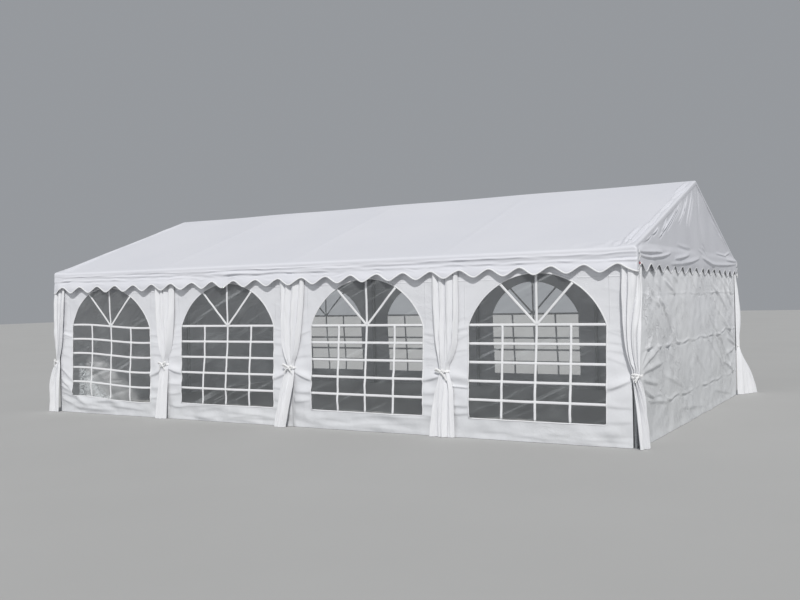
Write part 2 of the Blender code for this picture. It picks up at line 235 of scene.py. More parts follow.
def lapped(u, v, u0, v0, u1, v1, wide, narrow, height, bow=0.0):
    """A fold that has fallen over: a bell across its line, wide above the line and narrow below, where it
    casts its own shade, times the square root of the half sine along it."""
    fade, across = beside(u, v, u0, v0, u1, v1)
    across = math.copysign(1.0, u1 - u0) * across - bow * fade
    return height * np.sqrt(fade) * bell(across, np.where(across > 0, wide, narrow))


def ripples(u, v, wave, seed, stretch=1.0):
    """The sum of sine waves of chance heading, phase and length near wave, longer along v by stretch,
    scaled to lie mostly between -1 and 1."""
    chance = np.random.RandomState(seed)
    headings = chance.uniform(0, np.pi, WAVES)
    phases = chance.uniform(0, 2 * np.pi, WAVES)
    lengths = wave * chance.uniform(0.7, 1.6, WAVES)
    total = 0.0
    for heading, phase, length in zip(headings, phases, lengths):
        way = u * math.cos(heading) + v / stretch * math.sin(heading)
        total = total + np.sin(2 * np.pi * way / length + phase)
    return total / math.sqrt(WAVES)


def rumpled_line(u, v, level, wobble, width, height, seed):
    """A packing crease along u: a narrow ridge at v = level that wobbles, and whose height comes and
    goes."""
    across = v - (level + wobble * ripples(u, 0.0, 0.55, seed))
    strength = 0.55 + 0.45 * ripples(u, 0.0, 0.30, seed + 1)
    return height * strength * (bell(across, width) - 0.7 * bell(across + 1.5 * width, width))


print("a wrinkle 10 mm high is", round(float(wrinkle(0.5, 0.0, 0, 0, 1, 0, 0.02, 0.01)), 4), "at its middle")

# %% [markdown]
# ## Writing shader maths as Python
#
# A material is a network of nodes. To keep the maths in it readable, a small class wraps a socket and
# overloads + - * so that an expression adds its own Math nodes, and one method adds any other node.

# %% A socket that does arithmetic, and a material that makes nodes
class Signal:
    """A number in a shader network. Arithmetic on it adds Math nodes."""

    def __init__(self, finish, socket):
        self.finish = finish
        self.socket = socket

    def math(self, operation, first, second=0.0):
        return self.finish.number("ShaderNodeMath", {"operation": operation}, {0: first, 1: second})

    def __add__(self, other):
        return self.math("ADD", self, other)

    def __radd__(self, other):
        return self.math("ADD", other, self)

    def __sub__(self, other):
        return self.math("SUBTRACT", self, other)

    def __rsub__(self, other):
        return self.math("SUBTRACT", other, self)

    def __mul__(self, other):
        return self.math("MULTIPLY", self, other)

    def sine(self):
        return self.math("SINE", self)

    def size(self):
        return self.math("ABSOLUTE", self)

    def between(self, low, high):
        """0 at low and 1 at high, smoothly, through a Map Range node."""
        values = {"Value": self, "From Min": low, "From Max": high}
        smooth = {"interpolation_type": "SMOOTHSTEP"}
        return self.finish.number("ShaderNodeMapRange", smooth, values, "Result")

    def line_at(self, place, half_width):
        """A ridge across the signal: 1 at place and 0 beyond half_width on both sides."""
        return 1.0 - (self - place).size().between(0.0, half_width)


class Finish:
    """A material under construction, with its Principled shader."""

    def __init__(self, name, **constants):
        self.material = bpy.data.materials.new(name)
        self.material.use_nodes = True
        self.tree = self.material.node_tree
        self.shader = next(n for n in self.tree.nodes if n.type == "BSDF_PRINCIPLED")
        for socket, value in constants.items():
            self.shader.inputs[socket.replace("_", " ")].default_value = value

    def node(self, kind, settings=None, values=None):
        """Adds a node: its settings come first, then the values or links of its sockets."""
        new_node = self.tree.nodes.new(kind)
        for key, value in (settings or {}).items():
            setattr(new_node, key, value)
        for key, value in (values or {}).items():
            value = getattr(value, "socket", value)
            if isinstance(value, bpy.types.NodeSocket):
                self.tree.links.new(value, new_node.inputs[key])
            else:
                new_node.inputs[key].default_value = value
        return new_node

    def number(self, kind, settings=None, values=None, output=0):
        return Signal(self, self.node(kind, settings, values).outputs[output])

    def place(self, kind="UV"):
        """The point on the surface: its UV in metres of flat cloth, or its Object coordinates."""
        return self.node("ShaderNodeTexCoord").outputs[kind]

    def parts(self, kind="UV"):
        """The three numbers of that point, as signals."""
        split = self.node("ShaderNodeSeparateXYZ", None, {0: self.place(kind)})
        return [Signal(self, socket) for socket in split.outputs]

    def noise(self, vector, scale, detail=3.0, distortion=0.0):
        values = {"Vector": vector, "Scale": scale, "Detail": detail, "Distortion": distortion}
        return self.number("ShaderNodeTexNoise", None, values)

    def mix(self, share, first, second):
        values = {0: share, 6: (*first, 1.0) if isinstance(first, tuple) else first, 7: (*second, 1.0)}
        return self.node("ShaderNodeMix", {"data_type": "RGBA"}, values).outputs[2]

    def feed(self, socket, value):
        self.tree.links.new(getattr(value, "socket", value), self.shader.inputs[socket])

    def bump(self, height):
        """Height is in millimetres."""
        values = {"Height": height, "Distance": 0.001, "Strength": 1.0}
        self.feed("Normal", self.node("ShaderNodeBump", None, values).outputs[0])


# %% [markdown]
# ## White coated cloth
#
# The roof and walls are polyester cloth coated with soft white plastic: satin, slightly bluish, with a fine
# woven grid just visible. It is packed folded, so it keeps small creases that never quite leave. The weave
# follows the flat UV measure, and so do the creases and the unevenness of tone on the roof. On the walls
# they follow the point in space, so that no two bays look alike. The colour also holds painted light: the
# roof is painted greyer as painted shade and the end walls whiter as painted light, for how the sun falls on
# each, and the walls are painted darker towards the ground as painted shade.

# %% The finish of coated cloth
# Painted shade: the tone that the cloth is darkened to towards the ground, in place of the weaker light
# bounced up from it.
GROUND_SHADE_TONE = (0.40, 0.42, 0.41)
THREAD, FINE_THREAD = 0.0022, 0.0012


def coated_cloth(name, tones, roughness, crumple, crease,
                 pattern="UV", thread=THREAD, packing=None, ground_shade=None):
    """Base colour: two tones mixed by slow noise, and painted shade, ground_shade = (share, top), that
    darkens it towards the ground in place of the weaker light bounced up from the ground. Height in
    millimetres: two sets of thread lines, a crumple of distorted noise, crease ridges where another noise
    crosses its middle value, and the packing creases. Pattern says which place the noises follow."""
    finish = Finish(name, Specular_IOR_Level=0.35)
    across, along, _ = finish.parts()
    where = finish.place(pattern)
    weave = (across * (2 * math.pi / thread)).sine() + (along * (2 * math.pi / thread)).sine()
    soft = finish.noise(where, 3.1, 2.0, 0.4)
    fine = finish.noise(where, 11.0, 4.0, 1.2)
    ridge = finish.noise(where, 5.5, 2.0, 0.9).line_at(0.5, 0.018)
    nick = finish.noise(where, 13.0, 2.0, 1.1).line_at(0.5, 0.030)
    patch = finish.noise(where, 1.7, 1.0).between(0.42, 0.62)
    height = weave * 0.012 + fine * (1.6 * crumple) + soft * (5.0 * crumple)
    height = height + (ridge + nick * 0.5) * patch * crease
    if packing:
        height = height + packing(across, along)
    finish.bump(height)
    colour = finish.mix(finish.noise(where, 0.9, 3.0).between(0.3, 0.7), *tones)
    # Painted shade: darker towards the ground, where less light is bounced up from it.
    if ground_shade:
        low = 1.0 - finish.parts("Object")[2].between(0.0, ground_shade[1])
        colour = finish.mix(low * ground_shade[0] * (fine + 0.5), colour, GROUND_SHADE_TONE)
    finish.feed("Base Color", colour)
    finish.feed("Roughness", fine * 0.12 + (roughness - 0.06))
    return finish.material


def wall_packing(across, along):
    """Thin creases of a side wall: one level above the window, and one upright beside each side of its
    arch."""
    level_line = along.line_at(1.628, 0.010) * across.size().between(0.30, 0.55)
    upright = across.size().line_at(0.765, 0.009) * along.between(1.10, 1.25)
    return level_line * 2.4 + upright * 2.4


# Painted shade: the roof is the walls' cloth, painted greyer so that under the high sun it comes out no
# brighter than the walls.
ROOF_SHADED_TONES = (0.735, 0.742, 0.790), (0.715, 0.724, 0.776)
WALL_TONES = (0.782, 0.790, 0.822), (0.757, 0.766, 0.802)
# Painted light: the end walls are the same cloth, painted whiter than the side walls to make up for the
# grazing light that falls on them.
END_LIT_TONES = (0.880, 0.890, 0.915), (0.850, 0.861, 0.893)
CURTAIN_TONES = (0.822, 0.828, 0.850), (0.794, 0.801, 0.828)
BINDING_TONES = (0.860, 0.865, 0.880), (0.830, 0.836, 0.858)
roof_white = coated_cloth("roof cloth", ROOF_SHADED_TONES, 0.50, 0.5, 0.25)
# The walls and end walls get painted shade that darkens them towards the ground.
wall_white = coated_cloth(
    "wall cloth", WALL_TONES, 0.48, 1.3, 1.1, "Object", packing=wall_packing, ground_shade=(0.24, 0.7))
end_white = coated_cloth("end wall cloth", END_LIT_TONES, 0.46, 1.3, 5.0, "Object", ground_shade=(0.34, 1.8))
curtain_white = coated_cloth("curtain cloth", CURTAIN_TONES, 0.55, 0.8, 0.3)
binding_white = coated_cloth("hem binding", BINDING_TONES, 0.45, 0.2, 0.0, thread=FINE_THREAD)
print("materials so far:", len(bpy.data.materials))

# %% [markdown]
# ## Galvanised tube, clear film and tie tape
#
# The tubes are dipped in zinc, which sets in dull flakes of slightly different greys. The windows are clear
# soft plastic: nearly all of it lets light through. Its Alpha is low and varies: the film's own faint haze, a
# white veil that is painted light in place of the light inside the tent, and slanting streaks and one patch
# that are painted reflections as well as haze. The tapes that tie the curtains are woven cotton.

# %% The other finishes
def zinc_finish():
    """Grey flakes from a cell pattern, roughness and a fine bump that follow the same flakes."""
    finish = Finish("galvanised tube", Metallic=0.85)
    spot = finish.place("Object")
    flakes = finish.node("ShaderNodeTexVoronoi", None, {"Vector": spot, "Scale": 95.0})
    flake = finish.number("ShaderNodeMath", {"operation": "FRACT"}, {0: flakes.outputs["Color"]})
    dull = finish.noise(spot, 14.0)
    finish.feed("Base Color", finish.mix(flake * 0.6 + dull * 0.4, (0.30, 0.315, 0.33), (0.50, 0.515, 0.53)))
    finish.feed("Roughness", 0.34 + flake * 0.10 + dull * 0.14)
    finish.bump(flake * 0.04 + finish.noise(spot, 260.0, 2.0) * 0.03)
    return finish.material


def film_finish():
    """Alpha: a low value, which is partly the film's haze and partly painted light, a white veil lit by the
    sun in place of the light inside the tent; more along thin slanting streaks, haze and painted reflection
    together; more in a slow haze; and more in one triangle at the bottom left of the front, a painted
    reflection. The bump is a faint slack."""
    finish = Finish("clear film", Base_Color=(0.80, 0.84, 0.86, 1.0), Roughness=0.09, Specular_IOR_Level=0.6)
    spot = finish.place("Object")
    turned = finish.node("ShaderNodeMapping", None, {"Vector": spot, "Rotation": (0.0, 0.42, 0.0)}).outputs[0]

    def streaks(scale, detail, distortion):
        product = {"operation": "MULTIPLY"}
        pulled = finish.node("ShaderNodeVectorMath", product, {0: turned, 1: scale}).outputs[0]
        return finish.noise(pulled, 1.0, detail, distortion)

    haze = finish.noise(spot, 2.3, 3.0, 0.8).between(0.45, 0.80)
    x, y, z = finish.parts("Object")
    slanting = 1.0 - (x + z * 1.19).between(-2.82, -2.66)
    patch = x.between(-3.62, -3.55) * slanting * (1.0 - z.between(0.60, 0.72))
    patch = patch * (0.0 - y).between(0.0, 1.0)
    # Painted reflection: a triangle of whiter film at the bottom left of the front window; the streaks are
    # partly the film's haze and partly painted reflection.
    reflection_patch = streaks((9.0, 1.0, 34.0), 4.0, 1.8).line_at(0.5, 0.10) * patch * 0.50 + patch * 0.08
    streak = streaks((1.1, 1.0, 26.0), 3.0, 0.6).between(0.58, 0.76)
    # Painted light: the base Alpha of 0.10, besides the film's own haze, veils the view into the tent with
    # sunlit white in place of the light inside the tent.
    finish.feed("Alpha", 0.10 + streak * 0.16 + haze * 0.06 + reflection_patch)
    finish.bump(finish.noise(spot, 3.4, 2.0, 0.5) * 5.0)
    finish.material.surface_render_method = "BLENDED"
    return finish.material


def tape_finish(name, tone, pitch):
    """Woven tape: a herringbone of two slanted sines, painted a little darker in its valleys as painted shade
    between the threads.
    """
    finish = Finish(name, Roughness=0.85, Specular_IOR_Level=0.2)
    across, along, _ = finish.parts()
    weave = ((across.size() + along) * (2 * math.pi / pitch)).sine() * 0.5 + 0.5
    # Painted shade: the weave's valleys are coloured a little darker, where shade falls between the threads.
    finish.feed("Base Color", finish.mix(weave * 0.5 + 0.5, tuple(0.93 * c for c in tone), tone))
    finish.bump(weave * 0.2)
    return finish.material


zinc = zinc_finish()
clear_film = film_finish()
tie_white = tape_finish("tie tape", (0.90, 0.90, 0.905), 0.003)
tab_red = tape_finish("pull tab", (0.30, 0.02, 0.03), 0.002)
STEEL = ("leg_", "gable_post", "gable_rail", "roof_truss", "ridge_rail", "eave_rail")
steel_nodes = [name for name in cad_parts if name.startswith(STEEL)]
for name in steel_nodes:
    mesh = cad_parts[name].data
    mesh.materials.clear()
    mesh.materials.append(zinc)
print("galvanised nodes:", len(steel_nodes))

# %% [markdown]
# ## The roof sheet
#
# The roof is one sheet, from the scalloped hem of the front valance over the eave, the slope and the ridge
# to the hem at the back. Walking across it gives a profile: a drop, a round turn over the eave tube, the
# slope, and a round turn over the ridge tube. That profile is pushed along the tent, and then the sheet is
# moved along its own normal: down between the trusses, up over them, and out in small waves.

# %% The profile of the roof from ridge to hem
RIDGE_ROUND, EAVE_ROUND = 0.045, 0.035
BELOW_RIDGE = RIDGE_TOP - RIDGE_ROUND / math.cos(SLOPE)
EAVE_Y = VALANCE_OUT - EAVE_ROUND
EAVE_Z = RIDGE_TOP - EAVE_ROUND / math.cos(SLOPE) - math.tan(SLOPE) * EAVE_Y
SCALLOP, SCALLOP_START = 0.078, 0.045
# Rows of (x, way down the slope) for start and end, width, height and bow, in millimetres.
BESIDE_ENDS = metres(
    (3955, 2570, 3950, 1800, 14, 14, 4), (3978, 1950, 3958, 1420, 13, 13, 4),
    (3962, 1360, 3972, 920, 13, 12, 0), (3960, 860, 3995, 340, 13, 12, 0),
    (3895, 2580, 3885, 1950, 16, 8, -8), (3930, 550, 3950, 80, 16, 9, 0),
    (3990, 2600, 3700, 2440, 13, 12, 0), (3980, 2620, 3350, 2500, 14, 10, 0),
    (3990, 2580, 3860, 2280, 13, 12, 0), (3900, 2615, 3050, 2585, 12, 8, 0),
)


def scallop_edge(x, waves):
    """The height of the scalloped hem: a cosine and a little of its third harmonic, which straightens the
    sides of each scallop."""
    angle = 2 * np.pi * waves * x
    return VALANCE_LOW + SCALLOP / 2 * (1 - (np.cos(angle) + 0.03 * np.cos(3 * angle)) / 1.03)


def half_profile():
    """Rows of (y, z, normal y, normal z, share down the slope, share down the valance) from ridge to
    hem."""
    over, round_down = np.linspace(0.0, SLOPE, 7), np.linspace(SLOPE, np.pi / 2, 10)
    straight, drop = np.linspace(0.0, 1.0, 46)[1:-1], np.linspace(0.0, 1.0, 34)[1:]
    ridge = [RIDGE_ROUND * np.sin(over), BELOW_RIDGE + RIDGE_ROUND * np.cos(over)]
    eave = [EAVE_Y + EAVE_ROUND * np.sin(round_down), EAVE_Z + EAVE_ROUND * np.cos(round_down)]
    slope = [a[-1] + (b[0] - a[-1]) * straight for a, b in zip(ridge, eave)]
    one = np.ones_like(drop)
    y, z = (np.concatenate([ridge[k], slope[k], eave[k], (VALANCE_OUT, EAVE_Z)[k] * one]) for k in (0, 1))
    angle = np.concatenate([over, np.full_like(straight, SLOPE), round_down, np.pi / 2 * one])
    down = np.concatenate([0 * over, straight, np.ones_like(round_down), one])
    hang = np.concatenate([np.zeros(len(y) - len(drop)), drop])
    return [row[:, None] for row in (y, z, np.sin(angle), np.cos(angle), down, hang)]


def slope_shape(x, down, seed):
    """How far the slope is lifted off its plane: a sag between the trusses, a low ridge over each truss,
    slack, and wrinkles that run beside the ends and fan out of the eave corners."""
    reach, middle = down * 2.62, np.sin(np.pi * down)
    sag = -np.sin(np.pi * x / BAY) ** 2 * (0.014 * middle**0.8 + 0.006 * (1 - down) ** 4)
    over = sum(0.0040 * bell(x - leg, 0.035) for leg in leg_x) * middle**0.3
    lift = sag + over + 0.0024 * ripples(x, reach, 1.3, seed, 2.0) * middle
    for *line, width, height, bow in BESIDE_ENDS:
        lift = lift + wrinkle(x, reach, *line, width, 1.5 * height, bow, 0.7)
        lift = lift + wrinkle(-x, reach, *line, width, 1.2 * height, -bow, 0.7)
    return lift


def valance_shape(x, z, seed):
    """How far the valance stands out: two long level folds and many short ones under the eave, long waves,
    a flare at the hem, and a push from the curtain behind it at each leg."""
    low = 1 - ease(z, 1.67, 1.80)
    shape = 0.0035 * ripples(x, z * 5, 0.8, seed) + low * 0.006 * ripples(x, 0.0, 0.40, seed + 1)
    at_corner = ease(np.abs(x), ROOF_X - 0.16, ROOF_X - 0.02)
    pushed = 0.028 + 0.010 * sum(bell(x - leg, 0.17) for leg in leg_x)
    shape = shape + low * pushed * (1 - 0.8 * at_corner)
    shape = shape + rumpled_line(x, z, 1.850, 0.006, 0.012, 0.007, seed + 2)
    shape = shape + rumpled_line(x, z, 1.792, 0.010, 0.013, 0.010, seed + 4) * (1 - 0.6 * ease(x, 3.1, 3.7))
    for line in ((3.35, 1.850, 4.0, 1.886), (3.55, 1.815, 4.0, 1.875)):
        shape = shape + wrinkle(x, z, *line, 0.012, 0.004, 0.0, 0.8)
    chance = np.random.RandomState(seed)
    for start in np.arange(-3.9, 3.7, 0.5):
        x0, z0 = start + chance.uniform(-0.2, 0.2), chance.uniform(1.765, 1.872)
        x1, z1 = x0 + chance.uniform(0.7, 1.7), z0 + chance.uniform(-0.012, 0.012)
        width = chance.uniform(0.010, 0.018)
        shape = shape + wrinkle(x, z, x0, z0, x1, z1, width, 0.50 * width, 0.006, 0.8)
    for start in np.arange(-3.7, 3.9, 0.37):
        x0, z0 = start + chance.uniform(-0.12, 0.12), chance.uniform(1.70, 1.78)
        x1, z1 = x0 + chance.uniform(0.12, 0.35), z0 + chance.uniform(-0.035, 0.035)
        shape = shape + wrinkle(x, z, x0, z0, x1, z1, 0.010, 0.0048, 0.0, 0.7)
    return shape


# %% [markdown]
# At its two ends the sheet turns over the last truss and ends in a narrow band. The same turn closes the
# upright corners: it carries the valance round on to the end of the tent, where the band is wider. So the
# turn is a second profile, taken along each row's own normal. Below the eave the right end hangs a little
# further out.

# %% The turn at the two ends, and the whole sheet
END_ROUND = 0.018
SLOPE_BAND, VALANCE_BAND = 0.025, 0.046
ROLL_START = ROOF_X - END_ROUND
FLARES = {-1: 0.0, 1: 0.022}
RIDGE_REACH = 0.022
HEM_DROP = 0.0075


def flare_out(x, z, low=1.86, high=1.90):
    """How far an end stands out below the eave: 22 mm at the right end, and nothing at the left."""
    return np.where(x < 0, -FLARES[-1], FLARES[1]) * (1 - ease(z, low, high))


def reach_out(x, share_down):
    """How far the right end is pulled out above the eave: 22 mm at the ridge, and nothing at the eave."""
    return RIDGE_REACH * np.clip(1 - share_down, 0.0, 1.0) * ease(x, ROOF_X - 0.3, ROOF_X)


def hem_drop(x):
    """The side hems hang level as far as x = 3.5 m, and 7.5 mm lower for each metre to the left of that."""
    return HEM_DROP * np.clip(3.5 - x, 0.0, 5.5)


def end_columns():
    """Columns of (x, depth of the turn, share of the way down the band). They are 24 mm apart in the middle
    of the tent and 10 mm apart near its ends, and then follow a quarter circle of radius END_ROUND."""
    near = np.linspace(3.7, ROLL_START, 42)[1:]
    middle = np.concatenate([-near[::-1], np.linspace(-3.7, 3.7, 301), near])
    angle = np.append(np.linspace(0.0, np.pi / 2, 8)[1:], [np.pi / 2] * 3)
    x = ROLL_START + END_ROUND * np.sin(angle)
    turned = END_ROUND * (1 - np.cos(angle))
    share = np.append(np.zeros(7), [0.3, 0.65, 1.0])
    rows = [-x[::-1], middle, x], [turned[::-1], 0 * middle, turned], [share[::-1], 0 * middle, share]
    return [np.concatenate(row)[None, :] for row in rows]


def over_corners(points):
    """Lifts the cloth 14 mm over the joint at each of the four eave corners, fading out over 0.2 m."""
    x, y, z = (points[..., k] for k in range(3))
    away = np.hypot(np.abs(x) - ROOF_X, np.abs(y) - VALANCE_OUT)
    points[..., 2] = z + 0.014 * bell(away, 0.16) * ease(z, 1.72, 1.86)
    return points


def roof_sheet():
    """The profile is mirrored to the back and pushed along x. Each point moves along the profile's normal:
    out by the folds, and in by the turn and the band at the ends."""
    columns, turned, share = end_columns()
    x = np.clip(columns, -ROLL_START, ROLL_START)
    halves = []
    for side, seed in ((-1, 3), (1, 8)):
        y, z, normal_y, normal_z, down, hang = half_profile()
        band = SLOPE_BAND - 0.010 * ease(down, 0.97, 1.0) + (VALANCE_BAND - 0.015) * ease(hang, 0.0, 0.25)
        depth = turned + share * band
        along = columns + np.sign(columns) * depth * 0.4
        pulled = -side * along + 0.0085 * np.maximum(2.0 + side * along, 0.0)
        hem = scallop_edge(pulled - leg_x[0] - SCALLOP_START, 3.0) - hem_drop(along)
        height = z + hang * (hem - z)
        lift = slope_shape(x, down, seed) * (1 - ease(down, 0.985, 1.0))
        stand = valance_shape(-side * x, height, seed) * ease(hang, 0.02, 0.2)
        move = (lift + stand) * (1 - ease(depth, 0.0, END_ROUND)) - depth
        out, rise = side * (y + normal_y * move), height + normal_z * move
        flare = flare_out(columns, rise) * ease(np.abs(columns), ROOF_X - 0.08, ROOF_X)
        halves.append(np.stack([columns + flare + reach_out(columns, down), out, rise], axis=-1))
    return over_corners(np.concatenate([halves[0][::-1], halves[1][1:]]))


roof_points = roof_sheet()
roof_solids = ("roof_slope_front", "roof_slope_back", "valance_front", "valance_back")
roof = add_piece("roof_sheet", roof_points, roof_white, roof_solids, (0, 0, 1))
print("roof sheet:", roof_points.shape[:2], "points,", 2 * len(roof.data.polygons), "triangles")

# %% [markdown]
# ## Strips and bound hems
#
# Hems, tapes, window bars and laces are all one idea: a small closed outline carried along a path. The
# outline is an ellipse, nearly flat for a tape and round for a lace, and both ends close in a point. The
# scalloped edges are bound with a folded tape, which shows as a bright line.

# %% Carry an ellipse along a path
def smooth_path(points, count):
    """A curve through the points: on each stretch the Catmull-Rom cubic of its four nearest points."""
    points = np.asarray(points, float)
    padded = np.concatenate([[2 * points[0] - points[1]], points, [2 * points[-1] - points[-2]]])
    way = np.linspace(0, len(points) - 1, count)
    i = np.clip(way.astype(int), 0, len(points) - 2)
    t = (way - i)[:, None]
    a, b, c, d = (padded[i + k] for k in range(4))
    return 0.5 * (2 * b + (c - a) * t + (2 * a - 5 * b + 4 * c - d) * t**2 + (3 * b - a - 3 * c + d) * t**3)


def unit(vectors):
    return vectors / np.linalg.norm(vectors, axis=-1, keepdims=True)


def strip(path, flat_way, half_width, half_thick, around=8):
    """A closed tape. At each point of the path, the outline's wide way is flat_way made square to the path,
    and its thin way is the cross product of the path's heading and the wide way."""
    heading = unit(np.gradient(path, axis=0))
    wide = np.broadcast_to(np.asarray(flat_way, float), path.shape)
    wide = unit(wide - heading * (wide * heading).sum(-1, keepdims=True))
    thin = np.cross(heading, wide)
    angle = np.linspace(0, 2 * np.pi, around + 1)[None, :, None]
    offset = half_width * np.cos(angle) * wide[:, None] + half_thick * np.sin(angle) * thin[:, None]
    first, last = (np.repeat(end[:, None], around + 1, axis=1) for end in (path[:1], path[-1:]))
    return np.concatenate([first, path[:, None] + offset, last])


def bind_hem(name, row):
    """A folded tape along the row of points at a hem."""
    binding = strip(row + (0.0, 0.0, 0.0065), (0, 0, 1), 0.0075, 0.0030, 6)
    add_piece(name, [binding], binding_white)


bind_hem("valance_binding_front", roof_points[0])
bind_hem("valance_binding_back", roof_points[-1])
print("bindings:", [p.name for p in made[-2:]])

# %% [markdown]
# ## The gable cloths
#
# The triangle above each end wall is a sheet of its own. It is sewn inside the band of the roof sheet, goes
# over the tie rail at eave height and hangs down as a valance with smaller scallops. It is slack, so long
# wrinkles fan out of the left rafter, and deep folds, shaped like closed eyes, lie where it bunches over
# the rail. The sides that the photograph shows get the finest grids, and the others are a little coarser.

# %% The gable sheet
GABLE_WAVES = 15 / 5.14
GABLE_EAVE = 1.893
GABLE_INSET = 0.001
GABLE_HALF = VALANCE_OUT - 0.024
GABLE_TUCK = 0.020 / math.cos(SLOPE)
END_WALL_X = HALF_LENGTH + WALL_OUT
# Rows of (y, z) for start and end, width and height, in millimetres.
FAN = metres(
    (-205, 2631, -549, 2208, 12, 13), (-130, 2590, -425, 2192, 12, 8), (-417, 2565, -709, 2324, 12, 13),
    (-548, 2496, -861, 2224, 12, 12), (-700, 2480, -1050, 2250, 12, 8), (-794, 2442, -1362, 2129, 13, 14),
    (-941, 2374, -1704, 2027, 13, 14), (-1352, 2247, -1596, 2095, 12, 11),
    (-1693, 2152, -1939, 2046, 12, 10), (-1950, 2060, -2200, 1975, 12, 7), (95, 2694, 149, 2395, 14, 10),
    (253, 2009, 532, 1907, 15, 10), (120, 2400, 420, 1980, 20, 7), (900, 2360, 1500, 2120, 22, 6),
    (1300, 2220, 2000, 2000, 20, 6), (-300, 1965, -950, 1990, 18, 6), (20, 2100, 50, 1950, 20, 6),
)
# Rows of (y, z) for start and end, width above and below, height and bow, in millimetres.
EYES = metres(
    (-2520, 1846, -1620, 1872, 22, 7, 18, 4), (-2500, 1818, -1860, 1816, 14, 7, 14, -10),
    (-2050, 1812, -1280, 1876, 18, 7, 18, -12), (-1120, 1820, -420, 1884, 26, 10, 18, -6),
    (-800, 1776, 120, 1860, 30, 10, 16, -10), (240, 1872, 1020, 1792, 30, 11, 18, -12),
    (800, 1798, 2480, 1836, 28, 11, 15, -8), (1100, 1950, 1800, 1934, 20, 10, 12, 0),
    (1660, 1930, 2100, 1990, 18, 10, 12, 0), (-1300, 1758, -700, 1774, 20, 10, 9, 0),
    (50, 1960, 360, 1905, 18, 10, 9, 0), (1750, 1880, 2500, 1872, 24, 10, 14, 0),
)


def count_for(seen, number):
    """The number of grid lines, fewer on the sides that the photograph doesn't show."""
    return number if seen else 1 + round(0.72 * (number - 1))


def gable_shape(y, z, seed):
    """How far the cloth stands out from its plane: wrinkles above the rail, folds round it, then the
    valance, which hangs in towards the wall, except near the corners and the middle, where it is pushed
    out."""
    above_rail = ease(z, 1.885, 1.955)
    shape = 0.0035 * ripples(y, z, 0.7, seed) * above_rail - 0.004 * above_rail * bell(y / 2.6, 0.75)
    for row in FAN:
        shape = shape + wrinkle(y, z, *row, 0.012, 0.8)
    shape = shape * (1 - 0.55 * bell(y, 0.09) * above_rail)
    for row in EYES:
        shape = shape + lapped(y, z, *row)
    low = 1 - ease(z, 1.68, 1.80)
    pushed = np.maximum(0.55 * ease(y, 1.0, 1.5), 0.6 * bell(y - 0.3, 0.2))
    pushed = np.maximum(1 - ease(y, -2.0, -1.75), pushed)
    shape = shape + low * (0.004 * (1 - ease(y, -2.3, -1.9)) - 0.018 * (1 - pushed))
    shape = shape + 0.004 * low * ripples(y, 0.0, 0.42, seed + 5)
    return shape + 0.0016 * bell(y, 0.006) * above_rail


def gable_top(y):
    """The height of the band under the rafters."""
    return RIDGE_TOP - GABLE_TUCK - math.tan(SLOPE) * np.abs(y)


def gable_sheet(end, seed):
    """Rows rise from the scalloped hem to the eave line, then to the band under the rafters. Columns run
    across the tent."""
    seen = end > 0
    left_part = np.linspace(-GABLE_HALF, 0.3, count_for(seen, 281))
    y = np.append(left_part, np.linspace(0.3, GABLE_HALF, count_for(seen, 121))[1:])[None, :]
    top = gable_top(y)
    hem = scallop_edge(y + 1.566, GABLE_WAVES) - hem_drop(end * ROOF_X)
    lower = np.linspace(0.0, 1.0, count_for(seen, 29))[:, None]
    upper = np.linspace(0.0, 1.0, count_for(seen, 80))[1:, None]
    corner = np.minimum(GABLE_EAVE, top - 0.002)
    z = np.concatenate([hem + lower * (corner - hem), corner + upper * (top - corner)])
    y = np.broadcast_to(y, z.shape)
    held = ease(np.abs(y), 2.45, 2.52)
    out = gable_shape(y, z, seed) * (1 - held) * (1 - ease(z - top, -0.042, -0.022))
    sewn = ease(np.abs(y), 2.3, 2.5)
    flare = np.abs(flare_out(np.full(z.shape, end), z, 1.885 - 0.025 * sewn, 1.955 - 0.055 * sewn))
    reach = reach_out(end * ROOF_X, np.abs(y) / VALANCE_OUT) * ease(z, 1.885, 1.955)
    x = np.maximum(ROOF_X - GABLE_INSET + flare + reach + np.clip(out, -0.030, 0.034), END_WALL_X + 0.004)
    return over_corners(np.stack([end * x, end * y, z], axis=-1))


ENDS = {"left": -1, "right": 1}
for name, seed in (("left", 61), ("right", 57)):
    points = gable_sheet(ENDS[name], seed)
    solids, facing = (f"gable_cloth_{name}",), (ENDS[name], 0, 0)
    add_piece(f"gable_sheet_{name}", points, roof_white, solids, facing, weld=True)
    bind_hem(f"gable_binding_{name}", points[0])
print("gable sheets:", [p.name for p in made[-4:]])

# %% [markdown]
# ## Side walls with arched windows
#
# Each bay has one wall sheet with an arched opening. The grid for it goes round the opening: every line
# starts on the opening's edge and ends on the sheet's edge, so the arch stays smooth. One function gives
# the wall's folds, and the film and its bars use the same one, so they move together as the real ones do.

# %% The outline of the arched opening
WINDOW_HALF = 0.7275
SILL = 0.21
SPRING = 1.17
ARCH_RISE = 0.515
ARCH_RADIUS = (WINDOW_HALF**2 + ARCH_RISE**2) / (2 * ARCH_RISE)
ARCH_CENTRE = SPRING + ARCH_RISE - ARCH_RADIUS
ARCH_DROP = SPRING - ARCH_CENTRE


def arch_height(x, margin=0.0):
    """The top of the opening above x: a circle's arc from spring to spring."""
    return ARCH_CENTRE + np.sqrt(np.maximum((ARCH_RADIUS + margin) ** 2 - x**2, 0.0))


def pairs(x, z):
    return np.stack(np.broadcast_arrays(x, z), axis=-1)


